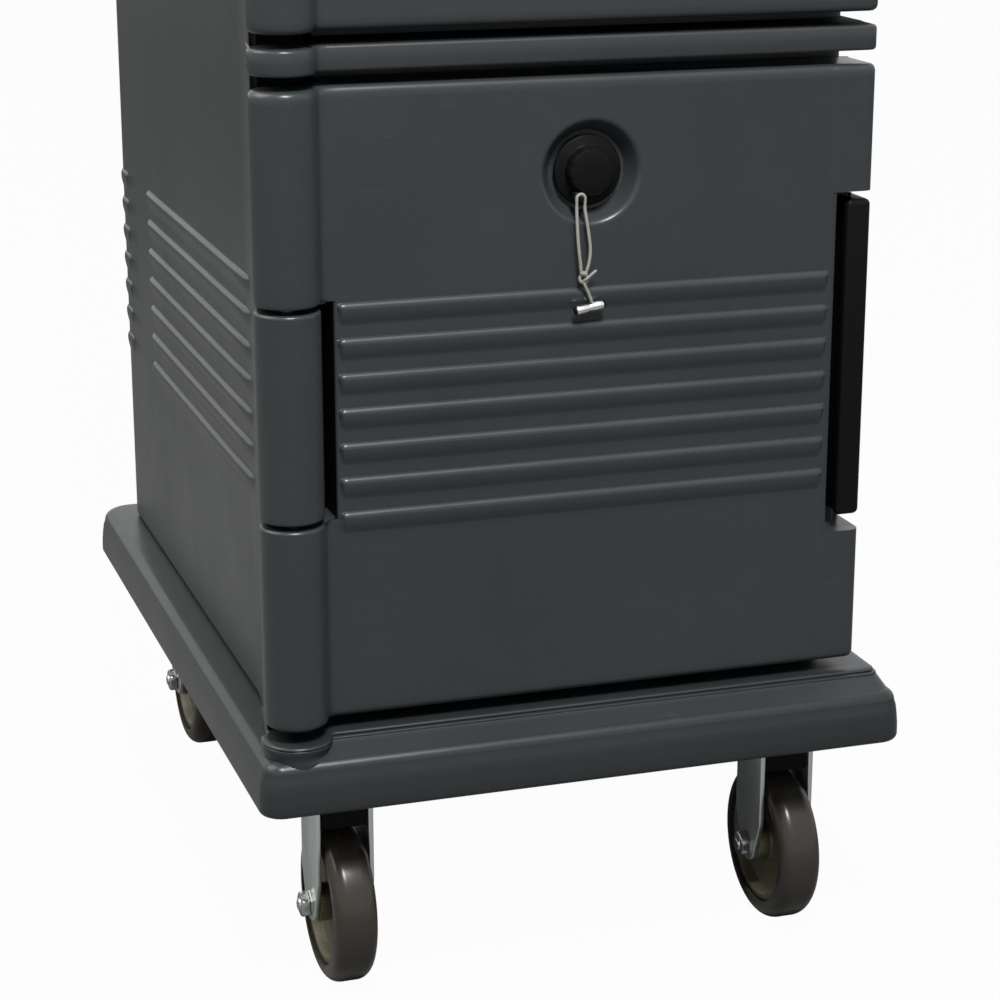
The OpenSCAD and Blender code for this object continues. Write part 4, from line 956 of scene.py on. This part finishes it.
# %% Swivel casters and brakes
ARM = rounded([(-49, 49.5, 13.9), (-24, 49.5, 12), (23.2, 112, 8), (23.2, 158.2, 1), (-23.2, 158.2, 1), (-49, 93.5, 8)],
              9)
RACE = [(0, 158.5), (24, 158.5), (27.6, 158.7), (29, 159.6), (29, 161.4), (27.4, 162.4), (29, 163.4), (29, 165.2),
        (28.2, 166.4), (0, 166.5)]
CROWN = [(0, 151.2), (27.6, 151.2), (29, 152.6), (29, 156.8), (27.6, 158.2), (0, 158.2)]
BOSS = both_ways([(3.05, 18), (5.2, 18), (6, 17.2)])
SHOE = rounded([(-3, -10.1, 2.6), (3, -10.1, 2.6), (3, 0, 0.4), (-3, 0, 0.4)])
PEDAL_ARM = rounded([(0, 1, 1), (46, 1, 1), (46, 6, 1), (0, 6, 1)])
for hand, x in HANDS.items():
    y, name = CASTER_Y, f"rear_{hand}"
    build(f"{name}_plate_shell", [top_plate(x, y), (turned(RACE, (x, y, 0), "z"), "open")] + bolts(x, y), steel_finish,
          "cabinet", [f"{name}_plate"])
    crown = prism(rectangle(23, 23.2, 1.5), 151.2, 158.2, 0.8) + (x, y, 0)
    build(f"{name}_fork_shell", two_legs(ARM, x, y, 0) + [crown, (turned(CROWN, (x, y, 0), "z"), "open")],
          steel_finish, f"{name}_swivel", [f"{name}_fork"])
    wheel(name, x, y - TRAIL, f"{name}_wheel", f"{name}_swivel")
    pin, pad = (x, y + 12, 120), prism(rectangle(22, 11, 4), 121, 125.2, 1.0) + (x, y + 51, 0)
    ribs = [prism(rectangle(18, 1.0, 0.9, 4), 125, 126, 0.4) + (x, y + 44 + 3.5 * k, 0) for k in range(5)]
    grids = [(turned(BOSS, pin, "x", 32), "open"), prism(SHOE, -17.8, 17.8, 0.6, "x") + pin,
             prism(PEDAL_ARM, -17.9, 17.9, 1.0, "x") + pin, pad]
    build(f"{name}_brake_pedal", grids + ribs, pedal_finish, f"{name}_brake", [f"{name}_brake"])

# %% [markdown]
# ## Small parts kept from the imported model
# Pins, keepers and sleeves are plain in reality too. They keep their imported shapes, and take their finishes here.

# %% Finishes for the imported parts
# The latch pins take the darkened steel: painted shade of their recess.
COATS = {f"{side}_{part}": finish for side in SIDES for part, finish in (
    ("hinge_pin", pin_finish), ("latch_pin", shaded_pin_finish), ("keeper", pin_finish), ("vent_sleeve", nylon_finish))}
COATS.update({f"rear_{hand}_{part}": pin_finish for hand in HANDS for part in ("kingpin", "brake_pin")})
for node, finish in COATS.items():
    for holder in frame["nodes"][node].material_slots:
        holder.material = finish
print("packed parts with finishes:", len(COATS))

# %% [markdown]
# ## The floor and the light
# The photograph has a white studio ground. A wide pale floor keeps the soft shadow, and the camera sees most of it
# as plain white. A large warm lamp stands to the left, because the left wall is lighter than the doors. A small
# strong one stands high in front: it leaves the narrow bright lines along the ribs and the upper edges.

# %% Floor, lamps and world
mesh = bpy.data.meshes.new("floor")
mesh.from_pydata([(-14, -14, 0), (14, -14, 0), (14, 22, 0), (-14, 22, 0)], [], [(0, 1, 2, 3)])
floor = put("floor", mesh)
paper, tree, matt = new_material("white paper floor")
matt.inputs["Base Color"].default_value = (0.2, 0.2, 0.2, 1)
matt.inputs["Roughness"].default_value = 0.9
rays = tree.nodes.new("ShaderNodeLightPath").outputs
share = tree.nodes.new("ShaderNodeMixShader")
feed(tree, share.inputs[0], maths(tree, "MULTIPLY", rays["Is Camera Ray"], 0.97))
feed(tree, share.inputs[1], matt.outputs[0])
feed(tree, share.inputs[2], tree.nodes.new("ShaderNodeEmission").outputs[0])
feed(tree, tree.nodes["Material Output"].inputs["Surface"], share.outputs[0])
mesh.materials.append(paper)


def lamp(name, azimuth, elevation, distance, size, power, colour=(1, 1, 1)):
    """A square area lamp that looks at the middle of the cart."""
    light = bpy.data.lights.new(name, "AREA")
    light.size, light.energy, light.color = size, power, colour
    holder = put(name, light)
    holder.location = Vector((0, 0, 0.6)) + aim(azimuth, elevation) * distance
    holder.rotation_mode = "QUATERNION"
    holder.rotation_quaternion = aim(azimuth, elevation).to_track_quat("Z", "Y")


lamp("left soft lamp", -100, 44, 2.7, 2.0, 62, (1.0, 0.945, 0.885))
lamp("high front lamp", -6, 50, 3.0, 0.7, 122, (0.96, 0.985, 1.0))
lamp("back lamp", 150, 60, 3.2, 2.0, 22)
world = bpy.data.worlds.new("studio")
bpy.context.scene.world = world
world.use_nodes = True
tree = world.node_tree
rays = tree.nodes.new("ShaderNodeLightPath").outputs
seen = maths(tree, "MAXIMUM", rays["Is Camera Ray"],
             maths(tree, "MAXIMUM", rays["Is Glossy Ray"], rays["Is Transmission Ray"]))
feed(tree, tree.nodes["Background"].inputs["Color"], blend(tree, seen, (0.26, 0.27, 0.28), (1.0, 1.0, 1.0)))
bpy.context.scene.view_settings.view_transform = "Standard"
